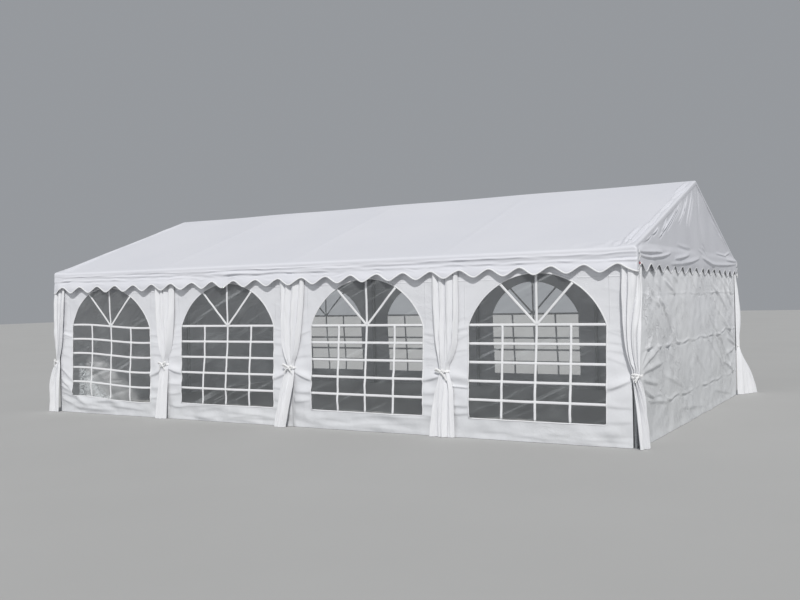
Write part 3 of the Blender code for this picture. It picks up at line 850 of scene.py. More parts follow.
def ring_between(left, right_end, seen=True):
    """Pairs of points (opening edge, sheet edge) round the opening, starting at the bottom left corner. The
    straight sides pair by height, and the arch pairs along rays from the middle of its springing line."""
    across = np.linspace(0.0, 1.0, count_for(seen, 111))
    rise = np.linspace(0.0, 1.0, count_for(seen, 129))
    corner, other = (math.atan2(WALL_TOP - SPRING, x) for x in (right_end, left))
    over_arch = np.linspace(corner, other, count_for(seen, 120))[1:]
    angle = np.concatenate([np.linspace(0, corner, 30), over_arch, np.linspace(other, np.pi, 30)[1:]])
    way_x, way_z = np.cos(angle), np.sin(angle)
    to_arch = -ARCH_DROP * way_z + np.sqrt((ARCH_DROP * way_z) ** 2 - ARCH_DROP**2 + ARCH_RADIUS**2)
    with np.errstate(divide="ignore"):
        to_side = np.abs(np.where(way_x > 0, right_end, left) / way_x)
    to_edge = np.minimum(to_side, (WALL_TOP - SPRING) / np.maximum(way_z, 1e-9))
    sides_in, sides_out = SILL + (SPRING - SILL) * rise, SPRING * rise
    inner = [pairs(WINDOW_HALF * (2 * across - 1), SILL), pairs(WINDOW_HALF, sides_in)[1:],
             pairs(way_x * to_arch, SPRING + way_z * to_arch)[1:], pairs(-WINDOW_HALF, sides_in[::-1])[1:]]
    outer = [pairs(left + (right_end - left) * across, 0.0), pairs(right_end, sides_out)[1:],
             pairs(way_x * to_edge, SPRING + way_z * to_edge)[1:], pairs(left, sides_out[::-1])[1:]]
    return np.concatenate(inner), np.concatenate(outer)


# %% [markdown]
# The folds of a side wall start where it is pulled. Each leg curtain is tied at waist height through the
# wall's edge, so folds fan out of that point into the strips beside the window. Below it the cloth is
# slack, and lies in level folds and in long slanting ones along the bottom.

# %% The folds of a side wall
# Rows of (x, z) for start and end, width above and below, height and bow, in millimetres.
POUCH = metres(
    (-960, 640, -700, 615, 50, 45, 22, 0), (-970, 535, -700, 520, 10, 8, 15, 0),
    (-970, 600, -900, 530, 10, 8, 12, 0),
)
CORNER_PULL = metres(
    (-985, 460, -620, 170, 40, 14, 16, 10), (-985, 360, -500, 130, 40, 14, 16, 10),
    (-985, 270, -400, 90, 40, 14, 14, 8), (-985, 600, -720, 400, 35, 14, 14, 6),
    (-960, 170, -550, 50, 35, 14, 12, 4), (-980, 1080, -730, 1000, 22, 12, 12, 0),
)


def strip_folds(side, seed, slant=0.0):
    """Folds of the strip beside a window: one from the tie, level slack folds below and above it, and thin
    packing creases. Slant is how much higher they end beside the window than they otherwise would."""
    chance = np.random.RandomState(seed)
    folds = []

    def fold(z_edge, z_inner, wide, narrow, height, bow=0.0):
        first, last = sorted([(side * 0.985, z_edge), (side * 0.700, z_inner + slant)])
        folds.append((*first, *last, wide, narrow, height, bow))

    drop = chance.uniform(0.10, 0.17)
    fold(WAIST - 0.03, WAIST - drop, 0.050, 0.012, 0.021, -0.008)
    level = WAIST - drop
    while level > 0.30:
        level -= chance.uniform(0.09, 0.15)
        size = chance.uniform(0.007, 0.013)
        fold(level, level + chance.uniform(-0.035, 0.035), 0.040, 0.016, size, -0.006)
    level = WAIST + 0.02
    while level < 1.05:
        level += chance.uniform(0.08, 0.14)
        size = chance.uniform(0.003, 0.008)
        fold(level - 0.03, level + chance.uniform(-0.02, 0.09), 0.045, 0.016, size, 0.008)
    for level in (1.02, 1.30, 1.52):
        z = level + chance.uniform(-0.08, 0.08)
        fold(z, z + chance.uniform(-0.04, 0.09), 0.014, 0.007, chance.uniform(0.002, 0.004))
    return folds


def bottom_folds(seed, size):
    """Long slanting folds in the strip below the window, size times as high as in the flattest bay."""
    chance = np.random.RandomState(seed)
    folds = []
    for _ in range(10):
        x, z = chance.uniform(-0.98, 0.45), chance.uniform(0.03, 0.17)
        slant = chance.uniform(-0.07, 0.07)
        end = (x + chance.uniform(0.35, 0.9), np.clip(z + slant, 0.02, 0.2))
        width, height = chance.uniform(0.016, 0.026), size * chance.uniform(0.003, 0.007)
        folds.append((x, z, *end, 0.045, width, height, 0.012))
    return folds


def make_wall_folds(bay_seed, extra=(), slant=0.0, size=1.0):
    """The wall's folds for one bay, as a function of x from the bay's middle and the height z. The wall
    draws in a little at the springing line and bellies out above its hem, most in the middle of the bay."""
    folds = strip_folds(-1, bay_seed, slant) + strip_folds(1, bay_seed + 1) + bottom_folds(bay_seed + 2, size)
    if extra:
        folds = [fold for fold in folds if fold[2] > 0 or not 0.45 < fold[1] < 0.70] + list(extra)

    def folded(x, z):
        shape = 0.004 * (1 - ease(z, 1.25, 1.75)) * ripples(x, z, 0.62, bay_seed + 3, 1.3)
        shape = shape + 0.0045 * (1 - ease(z, 0.45, 1.1)) * ripples(x, z, 0.30, bay_seed + 4, 0.6)
        shape = shape + 0.0016 * ripples(x, z, 0.20, bay_seed + 5)
        for fold in folds:
            shape = shape + lapped(x, z, *fold)
        between_legs = np.cos(np.clip(x, -1, 1) * np.pi / 2) ** 0.7
        belly = (0.034 * bell(z - 0.34, 0.36) - 0.014 * bell(z - 1.15, 0.28)) * between_legs
        held = (1 - ease(np.abs(x), 0.955, 0.992)) * (1 - ease(z, 1.72, 1.84))
        return np.clip(shape + belly + 0.010 * bell(z, 0.05), -0.026, 0.052) * held

    return folded


OTHER_BAYS = ((), 0.0, 1.2)
SPECIAL_BAYS = {0: (CORNER_PULL, -0.14, 1.7), 1: ((), 0.0, 1.4), 3: (POUCH, 0.0, 1.0)}
wall_folds = [make_wall_folds(100 + 10 * k, *SPECIAL_BAYS.get(k, OTHER_BAYS)) for k in range(8)]
trial = wall_folds[0](*np.meshgrid(np.linspace(-1, 1, 50), np.linspace(0, 1.8, 50)))
print("folds of the first wall: from", round(float(trial.min()), 4), "to", round(float(trial.max()), 4))


# %% [markdown]
# The back of the tent is the front turned half round. So a piece is worked out once, as seen from outside
# with x to the right, and placed on either side by changing the sign of x and y together.

# %% Place a wall piece on either side
FILM_DEPTH = 0.0016


def on_side(side, middle, x, out, z):
    """Outside of the front wall for side -1. For the back, side 1, both x and y change sign."""
    return np.stack(np.broadcast_arrays(middle - side * x, side * (HALF_WIDTH + out), z), axis=-1)


def in_bay(side, bay, x, out, z):
    """Places the cloth of one bay, which hangs a little askew between its legs. Most windows lean to the
    right with height, by 23 mm a metre. The first one is moved to the right below, and its bars slope down
    that way."""
    free = np.maximum(1 - x * x, 0.0)
    lean = 0.023 * z
    if side < 0 and bay == 0:
        lean = 0.019 * (1 - ease(z, 0.8, 1.3))
        z = z - 0.065 * x * free * ease(z, 0.02, 0.20) * (1 - ease(z, 1.60, 1.75))
    return on_side(side, leg_x[bay] + BAY / 2, x + lean * free, WALL_OUT + out, z)


def wall_sheet(side, bay, folds):
    """Each line of the grid runs from the opening's edge to the sheet's edge, evenly. At the corners of the
    tent the sheet ends 22 mm before the leg's centre line."""
    at_left, at_right = (bay == 0, bay == 3)[:: -side]
    left, right_end = -BAY / 2 + (0.022 if at_left else 0.002), BAY / 2 - (0.022 if at_right else 0.002)
    inner, outer = ring_between(left, right_end, side < 0)
    share = np.linspace(0.0, 1.0, count_for(side < 0, 27))[:, None, None] ** 0.92
    flat = inner[None] + (outer - inner)[None] * share
    x, z = flat[..., 0], flat[..., 1]
    z = z + 0.003 * (z < 0.001)
    return in_bay(side, bay, x, folds(x, z), z), pairs(x, z)


def film_sheet(side, bay, folds):
    """Columns stand between the window's sides, closer together near them, and rows rise to the arch."""
    margin = 0.008
    x = (WINDOW_HALF + margin) * np.sin(np.linspace(-np.pi / 2, np.pi / 2, 41))[None, :]
    top = arch_height(x * WINDOW_HALF / (WINDOW_HALF + margin), margin)
    rise = np.linspace(0.0, 1.0, 50)[:, None]
    z = (SILL - margin) + rise * (top - SILL + margin)
    return in_bay(side, bay, x, folds(x, z) - FILM_DEPTH, z), pairs(x, z)


def bar_strips(side, bay, folds):
    """Level bars at the springing line and each fifth below it, upright bars at the quarters and the
    middle, two rays in the arch, and a binding round the opening. Each follows the folds of the film."""
    levels = [SPRING - k * (SPRING - SILL) / 5 for k in range(5)]
    c, s = math.cos(math.radians(47)), math.sin(math.radians(47))
    reach = -ARCH_DROP * s + math.sqrt(ARCH_RADIUS**2 - (ARCH_DROP * c) ** 2)
    lines = [((-WINDOW_HALF, z), (WINDOW_HALF, z), (0, 0, 1)) for z in levels]
    lines += [((x, SILL), (x, SPRING), (1, 0, 0)) for x in (-WINDOW_HALF / 2, WINDOW_HALF / 2)]
    lines += [((0.0, SILL), (0.0, SPRING + ARCH_RISE), (1, 0, 0))]
    lines += [((0.0, SPRING), (way * reach * c, SPRING + reach * s), (s, 0, -way * c)) for way in (-1, 1)]
    mirrored = np.array((-side, 1, 1), float)
    grids = []
    for start, end, flat_way in lines:
        t = np.linspace(0.0, 1.0, max(8, int(math.dist(start, end) / 0.024)))
        x, z = start[0] + (end[0] - start[0]) * t, start[1] + (end[1] - start[1]) * t
        path = in_bay(side, bay, x, folds(x, z) - FILM_DEPTH, z)
        grids.append(strip(path, np.array(flat_way, float) * mirrored, 0.0145, 0.0021, 6))
    inner, outer = (ring[::3] for ring in ring_between(-BAY / 2, BAY / 2))
    away = unit(outer - inner)
    x, z = (inner + 0.004 * away).T
    path = in_bay(side, bay, x, folds(x, z) + FILM_DEPTH, z)
    flat_way = np.stack([away[:, 0], np.zeros(len(x)), away[:, 1]], -1) * mirrored
    return grids + [strip(path, flat_way, 0.0070, 0.0022, 6)]


# %% Make the eight walls, windows and sets of bars
SIDES = {"front": -1, "back": 1}
for side_name, side in SIDES.items():
    for bay in range(4):
        label = f"{side_name}_{bay + 1}"
        place = (side, bay, wall_folds[bay + 2 * (1 + side)])
        facing = (0, side, 0)
        points, flat = wall_sheet(*place)
        solids = (f"side_wall_{label}",)
        add_piece(f"wall_sheet_{label}", points, wall_white, solids, facing, flat)
        points, flat = film_sheet(*place)
        solids = (f"window_{label}",)
        add_piece(f"window_film_{label}", points, clear_film, solids, facing, flat)
        add_piece(f"window_bars_{label}", bar_strips(*place), binding_white)
print("walls:", len(made), "pieces so far,", sum(len(p.data.polygons) for p in made) * 2, "triangles")

# %% [markdown]
# ## The end walls
#
# The end walls are plain sheets, five metres wide. They were packed folded, so they show one upright and
# three level packing creases, broken and rumpled. Slack folds that have fallen over hang from the top
# towards the ties and lie round them. Above the eave valance's hem the wall stays flat behind it.

# %% The folds and the sheet of an end wall
END_HALF, END_TOP = 2.468, 1.83
END_LOW, END_HIGH = 0.003, 1.829
# Rows of (y, z) for start and end, width above and below, height and bow, in millimetres.
END_FOLDS = metres(
    (-2200, 1660, -1720, 1320, 45, 15, 17, -20), (-1840, 1580, -1640, 1490, 30, 14, 11, 0),
    (-1460, 1670, -1000, 1440, 45, 15, 15, 0), (-1100, 1650, -850, 1570, 30, 14, 11, 0),
    (-1720, 1430, -1060, 940, 26, 12, 20, 6), (-1520, 1600, -1020, 1440, 24, 12, 16, 0),
    (-1980, 1300, -1350, 920, 30, 14, 10, 0), (-1840, 1430, -1450, 1300, 35, 14, 13, 0),
    (1040, 910, 1530, 520, 35, 14, 18, 20), (1500, 540, 2300, 320, 35, 14, 18, 20),
    (720, 1690, 1300, 1100, 26, 13, 10, 0), (1050, 1100, 1750, 550, 30, 14, 12, 0),
    (-2130, 1440, -1950, 1380, 25, 14, 10, 0), (-1960, 1400, -1690, 1320, 25, 14, 10, 0),
    (-1300, 1240, -950, 980, 40, 16, 10, 0), (-700, 1660, -420, 1500, 35, 15, 10, 0),
    (-300, 1680, 20, 1460, 35, 15, 11, 0), (150, 1700, 620, 1360, 45, 15, 13, 0),
    (800, 1590, 1920, 1210, 50, 16, 16, 10), (1140, 1550, 1360, 1360, 30, 14, 11, 0),
    (1350, 1680, 2370, 1190, 50, 16, 17, 10), (1710, 1660, 2220, 1410, 35, 15, 14, 0),
    (920, 1690, 1100, 1240, 30, 15, 11, 0), (1220, 1690, 1440, 1220, 30, 15, 12, 0),
    (1560, 1690, 1800, 1200, 30, 15, 12, 0), (1900, 1690, 2080, 1220, 30, 15, 12, 0),
    (2180, 1690, 2300, 1300, 28, 15, 11, 0), (1100, 1280, 2360, 800, 50, 16, 14, 10),
    (550, 1260, 2200, 420, 55, 18, 14, 0), (1400, 1140, 2420, 740, 40, 16, 14, 0),
    (400, 1000, 1800, 360, 45, 18, 10, 0), (-2440, 690, -1600, 740, 40, 14, 20, 12),
    (-2440, 730, -1660, 910, 40, 14, 18, 20), (-2440, 650, -1750, 540, 40, 14, 18, -10),
    (-2440, 760, -1900, 1060, 35, 14, 14, 20), (-2400, 580, -1950, 400, 35, 14, 13, 0),
    (-2200, 410, -1250, 310, 40, 15, 15, 0), (1800, 840, 2440, 700, 35, 14, 17, 0),
    (1700, 620, 2440, 670, 35, 14, 17, 0), (1850, 400, 2440, 630, 35, 14, 15, 0),
    (-1600, 620, -700, 420, 45, 17, 12, 0), (-900, 200, 400, 80, 50, 18, 11, 0),
    (900, 220, 2100, 60, 50, 18, 11, 0), (-500, 1300, -100, 980, 40, 16, 10, 0),
    (-200, 800, 500, 450, 45, 17, 11, 0),
)


def end_folds(y, z, seed):
    """Packing creases, folds near the two ties, long steep folds, and slack of three sizes."""
    shape = 0.005 * ripples(y, z, 0.9, seed, 1.4) + 0.0035 * ripples(y, z, 0.33, seed + 1, 1.2)
    shape = shape + 0.0016 * ripples(y, z, 0.16, seed + 2)
    shape = shape + rumpled_line(y, z, 1.450, 0.010, 0.012, 0.007, seed + 3)
    shape = shape + rumpled_line(y, z, 0.925, 0.020, 0.014, 0.013, seed + 4)
    lowest = 0.345 + 0.16 * ease(-y, 1.2, 2.4)
    shape = shape + rumpled_line(y, z - lowest, 0.0, 0.016, 0.015, 0.013, seed + 5)
    shape = shape + rumpled_line(z, y, -1.775, 0.010, 0.014, 0.009, seed + 6) * ease(z, 0.7, 1.0)
    for row in END_FOLDS:
        shape = shape + lapped(y, z, *row)
    shape = np.where(shape < 0, shape * (1 - bell(y, 0.10)), shape) + 0.012 * bell(z, 0.05)
    held = (1 - ease(np.abs(y), 2.36, 2.45)) * (1 - ease(z, 1.74, END_TOP))
    return np.clip(shape, -0.022, 0.034 - 0.032 * ease(z, 1.60, 1.72)) * held


for name, seed in (("left", 311), ("right", 301)):
    end = ENDS[name]
    across = np.linspace(-END_HALF, END_HALF, count_for(end > 0, 361))
    y, z = np.meshgrid(across, np.linspace(END_LOW, END_HIGH, count_for(end > 0, 161)))
    points = np.stack([end * (END_WALL_X + end_folds(y, z, seed)), end * y, z], axis=-1)
    solids, facing = (f"end_wall_{name}",), (end, 0, 0)
    add_piece(f"end_sheet_{name}", points, end_white, solids, facing, pairs(y, z))
print("end walls:", [p.name for p in made[-2:]])

# %% [markdown]
# ## Leg curtains
#
# A curtain covers each leg, wide and pleated at the top, tied in a bunch at the waist and opening again to
# the ground. Seen from above, each level of it follows a line along the wall: straight at most legs, and
# bent round the leg at the corners. The pleats stand out from that line as broad ridges with narrow, deep
# valleys. They keep their number from top to hem, so they crowd together at the waist by themselves.

# %% The loft of a curtain
QUARTER = CURTAIN_OUT * math.pi / 2
PLEATS = 3.7
LEAN = 0.25


def through(z, knots, rows):
    """Smooth curves through the rows at the knots: between two knots, the cubics whose slopes at the knots
    are those of the chords from neighbour to neighbour."""
    slopes = np.gradient(rows, knots, axis=0)
    i = np.clip(np.searchsorted(knots, z) - 1, 0, len(knots) - 2)
    span = (knots[i + 1] - knots[i])[:, None]
    t = np.clip((z - knots[i])[:, None] / span, 0.0, 1.0)
    start = (1 + 2 * t) * (1 - t) ** 2 * rows[i] + t * (1 - t) ** 2 * span * slopes[i]
    return start + t * t * (3 - 2 * t) * rows[i + 1] + t * t * (t - 1) * span * slopes[i + 1]


def wall_line(p, wraps):
    """The point in plan p metres along the wall from the leg's centre line. Where the line wraps a corner
    it goes on round a quarter circle, and then back along the end wall."""
    if not wraps:
        return np.stack([p, np.full_like(p, CURTAIN_OUT)], -1)
    angle = np.clip(p / CURTAIN_OUT, 0.0, np.pi / 2)
    along = np.minimum(p, 0.0) + CURTAIN_OUT * np.sin(angle)
    return np.stack([along, CURTAIN_OUT * np.cos(angle) - np.maximum(p - QUARTER, 0.0)], -1)


def pleated(levels, seed, seen, wraps, sweep, belly):
    """Rows of levels hold height, left, right, depth and how far each edge is moved in plan, from the top
    down. Fold: the size of the sine of the phase to the power 0.6, as a share of the depth, square to the
    line of its level. Columns crowd together at the valleys. Sweep carries the pleats sideways below the
    waist."""
    heights, table = levels[::-1, 0], levels[::-1, 1:]
    zz = np.linspace(heights[-1], heights[0], count_for(seen, 100))[:, None]
    left, right_edge, depth, left_x, left_y, right_x, right_y = through(zz[:, 0], heights, table).T[..., None]
    spread = np.pi * PLEATS
    t = np.linspace(0.0, 1.0, count_for(seen, 105))[None, :]
    crowded = t - 0.35 * np.sin(0.5 * np.pi + 2 * spread * t) / spread
    phase = 0.25 * np.pi + spread * crowded
    c = (crowded - crowded[:, :1]) / (crowded[:, -1:] - crowded[:, :1])
    wander = 0.07 * ripples(c, zz * 0.35, 0.8, seed) * ease(np.abs(zz - WAIST), 0.05, 0.6)
    s = c + np.sin(np.pi * c) * (wander + sweep * ease(WAIST - zz, 0.0, WAIST))
    p = left + (right_edge - left) * s
    uneven = 0.90 + 0.20 * ripples(c, zz * 0.25, 0.4, seed + 1)
    fine = 0.12 * np.sin(2.7 * phase + 3 * zz) * (1 - 0.7 * ease(zz, 0.9, 1.7))
    fine = fine + 0.05 * ripples(c * 3, zz, 0.25, seed + 2)
    ridge = np.abs(np.sin(phase))
    fold = np.clip(ridge**0.6 * uneven + fine * ridge, 0.05, 1.3)
    flared = np.stack([left_x + (right_x - left_x) * s, left_y + (right_y - left_y) * s], -1)
    base = wall_line(p, wraps) + flared
    heading = unit(np.gradient(base, axis=1))
    outward = np.stack([-heading[..., 1], heading[..., 0]], -1)
    held_flat = (0.35 + 0.20 * ease(zz, 1.45, 1.65)) * ease(zz, 0.66, 0.85)
    out = depth * fold * (1 - held_flat * (ease(p, 0.0, QUARTER) if wraps else 0.0))
    bulge = belly * bell(zz - 1.15, 0.35) * np.sin(np.pi * c)
    points = base + outward * (out + bulge)[..., None] - heading * (LEAN * out)[..., None]
    return points, np.broadcast_to(zz, out.shape)


def flat_of_curtain(points, z):
    """The curtain's flat measure: its own length round the pleats on the row where it is longest, and the
    height."""
    longest = np.linalg.norm(np.diff(points, axis=1), axis=-1).sum(axis=1).argmax()
    across = walked(points[longest])
    return pairs(across, z), float(across[-1])


# %% [markdown]
# The photograph shows each curtain tied a little differently. The numbers below are the places of its two
# edges at thirteen heights, measured along the wall from the leg. Each edge hangs nearly straight, closes
# quickly into the tie and opens again below it. A corner curtain wraps its leg, from the side wall round to
# the end wall, and below the tie its tail flares out from the corner, one edge more than the other.

# %% Make the ten curtains
# Heights, depths of the pleats, and for each curtain its left and right edge, in millimetres.
HEIGHTS, DEPTHS = metres(
    (1800, 1500, 1280, 1100, 950, 820, 740, 680, 620, 500, 360, 190, 4),
    (26, 52, 60, 62, 60, 52, 44, 38, 44, 52, 56, 60, 62),
)
EDGES = {
    "2": metres(
        (-142, -125, -112, -98, -79, -48, -29, -30, -72, -78, -80, -88, -98),
        (188, 180, 172, 156, 133, 90, 54, 48, 55, 58, 56, 52, 46),
    ),
    "3": metres(
        (-146, -125, -116, -109, -101, -70, -36, -34, -68, -104, -128, -152, -176),
        (210, 196, 172, 148, 121, 82, 44, 38, 45, 47, 29, 3, -32),
    ),
    "4": metres(
        (-118, -115, -113, -107, -90, -62, -48, -46, -60, -86, -112, -135, -153),
        (178, 176, 176, 165, 147, 100, 56, 50, 68, 100, 109, 115, 120),
    ),
    "front_5": metres(
        (-100, -95, -86, -74, -58, -30, -6, -6, -2, 6, 14, 22, 30),
        (240, 180, 105, 68, 56, 48, 42, 40, 50, 75, 95, 110, 120),
    ),
    "back_5": metres(
        (-150, -142, -130, -110, -80, -45, -25, -20, -22, -28, -33, -37, -40),
        (110, 105, 100, 95, 90, 80, 75, 75, 78, 85, 90, 96, 100),
    ),
    "front_1": metres(
        (-152, -134, -117, -103, -90, -60, -34, -30, -42, -44, -38, -30, -24),
        (120, 118, 112, 102, 90, 76, 70, 70, 80, 105, 125, 135, 140),
    ),
}
FLARED = (0.0,) * 8 + (0.12, 0.38, 0.64, 0.86, 1.0)
FLARED_SOON = (0.0,) * 8 + (0.30, 0.70, 0.95, 1.0, 1.0)
# Edges, flare in plan of the left and of the right edge, how soon, sweep, belly and seed.
CURTAINS = {
    "front_2": ("2", (0.0, 0.03), (0.0, 0.04), FLARED, -0.04, 0.0, 41),
    "front_3": ("3", (0.0, 0.06), (0.0, 0.09), FLARED, -0.04, 0.0, 52),
    "front_4": ("4", (0.0, 0.03), (0.0, 0.03), FLARED, 0.12, 0.0, 63),
    "back_2": ("2", (0.0, 0.03), (0.0, 0.04), FLARED, -0.04, 0.0, 48),
    "back_3": ("3", (0.0, 0.06), (0.0, 0.09), FLARED, -0.04, 0.0, 59),
    "back_4": ("4", (0.0, 0.03), (0.0, 0.03), FLARED, 0.12, 0.0, 70),
    "front_5": ("front_5", (0.010, 0.048), (0.035, 0.0), FLARED, 0.03, 0.0, 71),
    "back_5": ("back_5", (0.245, 0.290), (0.005, 0.0), FLARED, 0.03, 0.06, 82),
    "front_1": ("front_1", (0.0, 0.030), (0.170, 0.075), FLARED_SOON, 0.03, 0.0, 93),
    "back_1": ("back_5", (0.060, 0.110), (0.100, 0.040), FLARED, 0.03, 0.03, 97),
}
CORNER_ENDS = {1: -1, 5: 1}


def at_leg(side, leg, along, out, z):
    """At a corner, along is past the corner and out is out from the side, mirrored for the left end."""
    if leg not in CORNER_ENDS:
        return on_side(side, leg_x[leg - 1], along, out, z)
    return np.stack([CORNER_ENDS[leg] * (HALF_LENGTH + along), side * (HALF_WIDTH + out), z], -1)


for label, (edges, left_flare, right_flare, flared, sweep, belly, seed) in CURTAINS.items():
    side, leg = SIDES[label[:-2]], int(label[-1])
    end = CORNER_ENDS.get(leg, 0)
    share = np.array(flared)[:, None]
    levels = np.column_stack([HEIGHTS, *EDGES[edges], DEPTHS, share * left_flare, share * right_flare])
    points, z = pleated(levels, seed, side < 0 or end > 0, end != 0, sweep, belly)
    flat, width = flat_of_curtain(points, z)
    placed = at_leg(side, leg, points[..., 0], points[..., 1], z)
    solids, facing = (f"curtain_{label}",), (end, side, 0)
    name = f"curtain_sheet_{label}"
    curtain = add_piece(name, placed, curtain_white, solids, facing, flat)
    curtain["flat_width"] = width
print("curtains: flat widths", [round(p["flat_width"], 3) for p in made[-10:]])

# %% [markdown]
# ## Ties
#
# A soft cotton band goes round each curtain and its leg at the waist and is tied in front. It is made of a
# half ring round the bunch, a small knot, two loops and loose ends, each a flat strip along a smooth path.

# %% Ties at the waist of each curtain
TIE_HALF, TIE_THICK = 0.056, 0.0044
# Leg: place of the knot, where the two loops and the two loose ends reach, and the tape's half width.
TIES = {
    1: (0.0, ((-0.050, 0.035), (0.045, 0.030)), ((-0.030, -0.070), (0.030, -0.060)), 0.011),
    2: (0.0, ((-0.068, 0.034), (0.050, 0.036)), ((-0.056, -0.058), (0.035, -0.062)), 0.012),
    3: (0.0, ((-0.090, 0.045), (0.040, 0.024)), ((-0.075, -0.055), (0.037, -0.060)), 0.012),
    4: (-0.026, ((-0.060, 0.030), (0.034, 0.012)), ((0.040, -0.045), (0.070, -0.090)), 0.012),
    5: (-0.018, ((-0.028, 0.016), (0.012, 0.020)), ((-0.040, -0.035), (-0.030, -0.055)), 0.008),
}


def knot_pad(centre, size):
    """A small ellipsoid with two grooves crossing it, closed at both poles."""
    lat, lon = np.meshgrid(np.linspace(0, np.pi, 13), np.linspace(0, 2 * np.pi, 25), indexing="ij")
    groove = 1 - 0.16 * np.abs(np.sin(lon * 2 + 3 * lat))
    shape = np.stack([np.sin(lat) * np.cos(lon), np.sin(lat) * np.sin(lon), np.cos(lat)], -1)
    return np.asarray(centre) + shape * groove[..., None] * np.asarray(size)


def tie_parts(reach, knot, loop_ends, loose_ends, wide):
    """Parts in (along, out, up), from the leg's centre line at the height of the tie: a ring of two turns,
    a knot, a loop out to each of loop_ends and back, and a loose end out to each of loose_ends."""
    angle = np.linspace(-0.56 * np.pi, 0.56 * np.pi, 33)
    rise = 0.010 * np.sin(angle) + 0.004 * np.sin(3 * angle)
    ring = np.stack([TIE_HALF * np.sin(angle), CURTAIN_OUT - 0.004 + reach * np.cos(angle), rise], -1)
    front = CURTAIN_OUT + reach * math.cos(math.asin(min(0.9, abs(knot) / TIE_HALF)))
    second_ring = ring * (1, 1, -1) + (0.0, 0.002, 0.012)
    parts = [strip(ring, (0, 0, 1), 0.012, 0.0042), strip(second_ring, (0, 0, 1), 0.010, 0.0040)]
    parts.append(knot_pad((knot, front + 0.008, 0.004), (0.022, 0.014, 0.019)))
    for along, up in loop_ends:
        open_by = 0.012 if abs(along) > abs(up) else 0.004
        loop = smooth_path([
            (knot, front + 0.010, 0.004), (knot + 0.5 * along, front + 0.020, 0.5 * up + open_by),
            (knot + along, front + 0.014, up), (knot + 0.92 * along, front + 0.008, up - 0.016),
            (knot + 0.5 * along, front + 0.007, 0.4 * up - open_by), (knot, front + 0.008, 0.0),
        ], 26)
        parts.append(strip(loop, (0.2, 0, 1), wide, TIE_THICK))
    for along, up in loose_ends:
        tail = smooth_path([
            (knot, front + 0.010, 0.0), (knot + 0.35 * along, front + 0.020, 0.2 * up),
            (knot + 0.75 * along, front + 0.016, 0.6 * up), (knot + along, front + 0.012, up),
        ], 24)
        parts.append(strip(tail, (1, 0.2, 0.6), wide, TIE_THICK))
    return parts


for side_name, side in SIDES.items():
    for leg, tie in TIES.items():
        end = CORNER_ENDS.get(leg, 0)
        grids = []
        for part in tie_parts(0.042 if end else 0.046, *tie):
            along, out, rise = (part[..., k] for k in range(3))
            if end:
                along, out = (out + along * end) * math.sqrt(0.5), (out - along * end) * math.sqrt(0.5)
            grids.append(at_leg(side, leg, along, out, WAIST + rise))
        add_piece(f"curtain_tie_{side_name}_{leg}", grids, tie_white)
print("ties:", [p.name for p in made[-10:]])

# %% [markdown]
# ## Laced corners
#
# At each corner the side valance, carried round, and the end valance are laced together with a thin white
# lace through small metal eyelets. One lace carries a small red pull tab.

# %% Eyelets and laces
LACE_LEVELS = (1.722, 1.760, 1.798, 1.836)
LACE_HALF = 0.0026
JOINT_Y = VALANCE_OUT - END_ROUND - VALANCE_BAND


def eyelet(x, y, z, end):
    """A torus: a small circle carried round a larger one, both square to the end of the tent."""
    around, tube = np.meshgrid(np.linspace(0, 2 * np.pi, 17), np.linspace(0, 2 * np.pi, 9), indexing="ij")
    radius = 0.0055 + 0.0018 * np.cos(tube)
    out = end * 0.0018 * np.sin(tube)
    return np.stack([x + out, y - end * np.cos(around) * radius, z + np.sin(around) * radius], -1)


def at_joint(end, side, out, across, z):
    """A point out from one end of the tent, and across from the joint of its valances towards a side."""
    return end * (ROOF_X + FLARES[end] + out), side * (JOINT_Y + across), z


HANGING = metres((4, 10, 0), (9, 14, -20), (11, 12, -50), (10, 14, -75))
eyelets, laces = [], []
for end in (-1, 1):
    for side in (-1, 1):
        path = []
        for k, z in enumerate(LACE_LEVELS):
            for out, across in ((0.001, 0.010), (-0.002, -0.014)):
                eyelets.append(eyelet(*at_joint(end, side, out, across, z), end))
            first, second = (0.010, -0.014) if k % 2 == 0 else (-0.014, 0.010)
            path += [at_joint(end, side, 0.004, first, z), at_joint(end, side, 0.006, second, z + 0.010)]
        path.append(at_joint(end, side, 0.003, 0.0, 1.872))
        laces.append(strip(smooth_path(path, 120), (0, 1, 0), LACE_HALF, LACE_HALF))
        path = [at_joint(end, side, out, across, LACE_LEVELS[0] + down) for out, across, down in HANGING]
        laces.append(strip(smooth_path(path, 30), (0, 1, 0), LACE_HALF, LACE_HALF))
add_piece("corner_laces", laces, tie_white)
add_piece("corner_eyelets", eyelets, zinc)
tab_place = np.array([ROOF_X + FLARES[1] + 0.008, -JOINT_Y - 0.012, 1.745])
tab_bends = metres((-3, 0, 10), (2, -3, 4), (3, -3, -4), (2, -2, -10))
add_piece("pull_tab", [strip(smooth_path(tab_place + tab_bends, 14), (1, 1, 0), 0.007, 0.0016)], tab_red)
print("laces:", len(laces), "eyelets:", len(eyelets))

# %% [markdown]
# ## Declaring the cloths
# The mean height of a gable cloth is worked out, and for each gable sheet the drop of its hem.

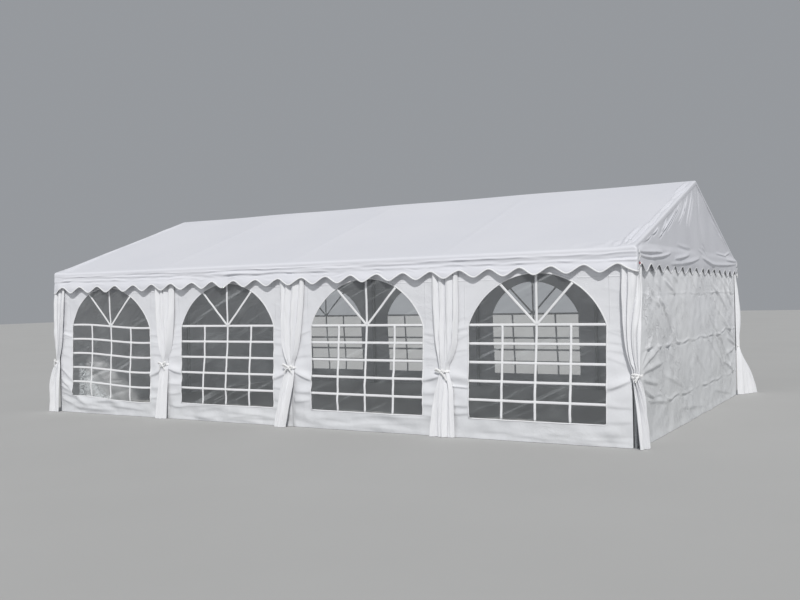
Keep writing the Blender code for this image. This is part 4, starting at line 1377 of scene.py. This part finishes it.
# %% The flat size of the gable sheets
across = np.linspace(-WINDOW_HALF, WINDOW_HALF, 400)
across = np.linspace(-GABLE_HALF, GABLE_HALF, 800)
gable_height = float(np.mean(np.maximum(gable_top(across), GABLE_EAVE) - scallop_edge(across, GABLE_WAVES)))
for piece in made:
    kind, _, label = piece.name.replace("_", " ", 1).partition("_")
    if kind == "gable sheet":
        drop = float(hem_drop(ENDS[label] * ROOF_X))
print("declared cloths among", len(made), "pieces")

# %% [markdown]
# ## The studio
#
# A plain pale floor, a soft sun from high in front and a little to the right, as in the photograph, and an
# even pale surround. The sun is low enough to light the front, and grazes the end wall.

# %% Floor and light
finish = Finish("studio floor", Roughness=0.9, Specular_IOR_Level=0.1)
slow = finish.noise(finish.place("Object"), 0.5)
finish.feed("Base Color", finish.mix(slow, (0.46, 0.46, 0.455), (0.50, 0.50, 0.495)))
floor_x, floor_y = np.meshgrid(np.linspace(-60, 60, 9), np.linspace(-60, 60, 9))
floor = surface("floor", np.stack([floor_x, floor_y, 0 * floor_x], -1), (0, 0, 1))
floor.data.materials.append(finish.material)


def sun(name, towards, energy, spread, colour):
    """A sun lamp whose light comes from towards. Its own z axis is turned that way."""
    lamp = bpy.data.lights.new(name, "SUN")
    lamp.energy = energy
    lamp.angle = math.radians(spread)
    lamp.color = colour
    back_way = unit(np.array(towards))
    side_way = unit(np.cross((0, 0, 1), back_way))
    put(name, lamp, (side_way, np.cross(back_way, side_way), back_way))


sun("key", (0.42, -0.66, 0.72), 2.46, 3.0, (1.0, 0.985, 0.96))
sun("fill", (-0.60, -0.78, 0.22), 0.26, 50.0, (0.95, 0.97, 1.0))
world = bpy.data.worlds.new("surround")
world.use_nodes = True
backdrop = next(n for n in world.node_tree.nodes if n.type == "BACKGROUND")
backdrop.inputs["Color"].default_value = (0.90, 0.94, 1.0, 1.0)
backdrop.inputs["Strength"].default_value = 0.34
bpy.context.scene.world = world
bpy.context.scene.view_settings.view_transform = "Standard"
print("surround", backdrop.inputs["Strength"].default_value)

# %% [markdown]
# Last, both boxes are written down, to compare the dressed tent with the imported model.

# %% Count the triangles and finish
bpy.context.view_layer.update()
triangles = {p.name: 2 * len(p.data.polygons) for p in made}
largest = max(triangles, key=triangles.get)
print("triangles in all:", sum(triangles.values()), "largest:", largest, triangles[largest])
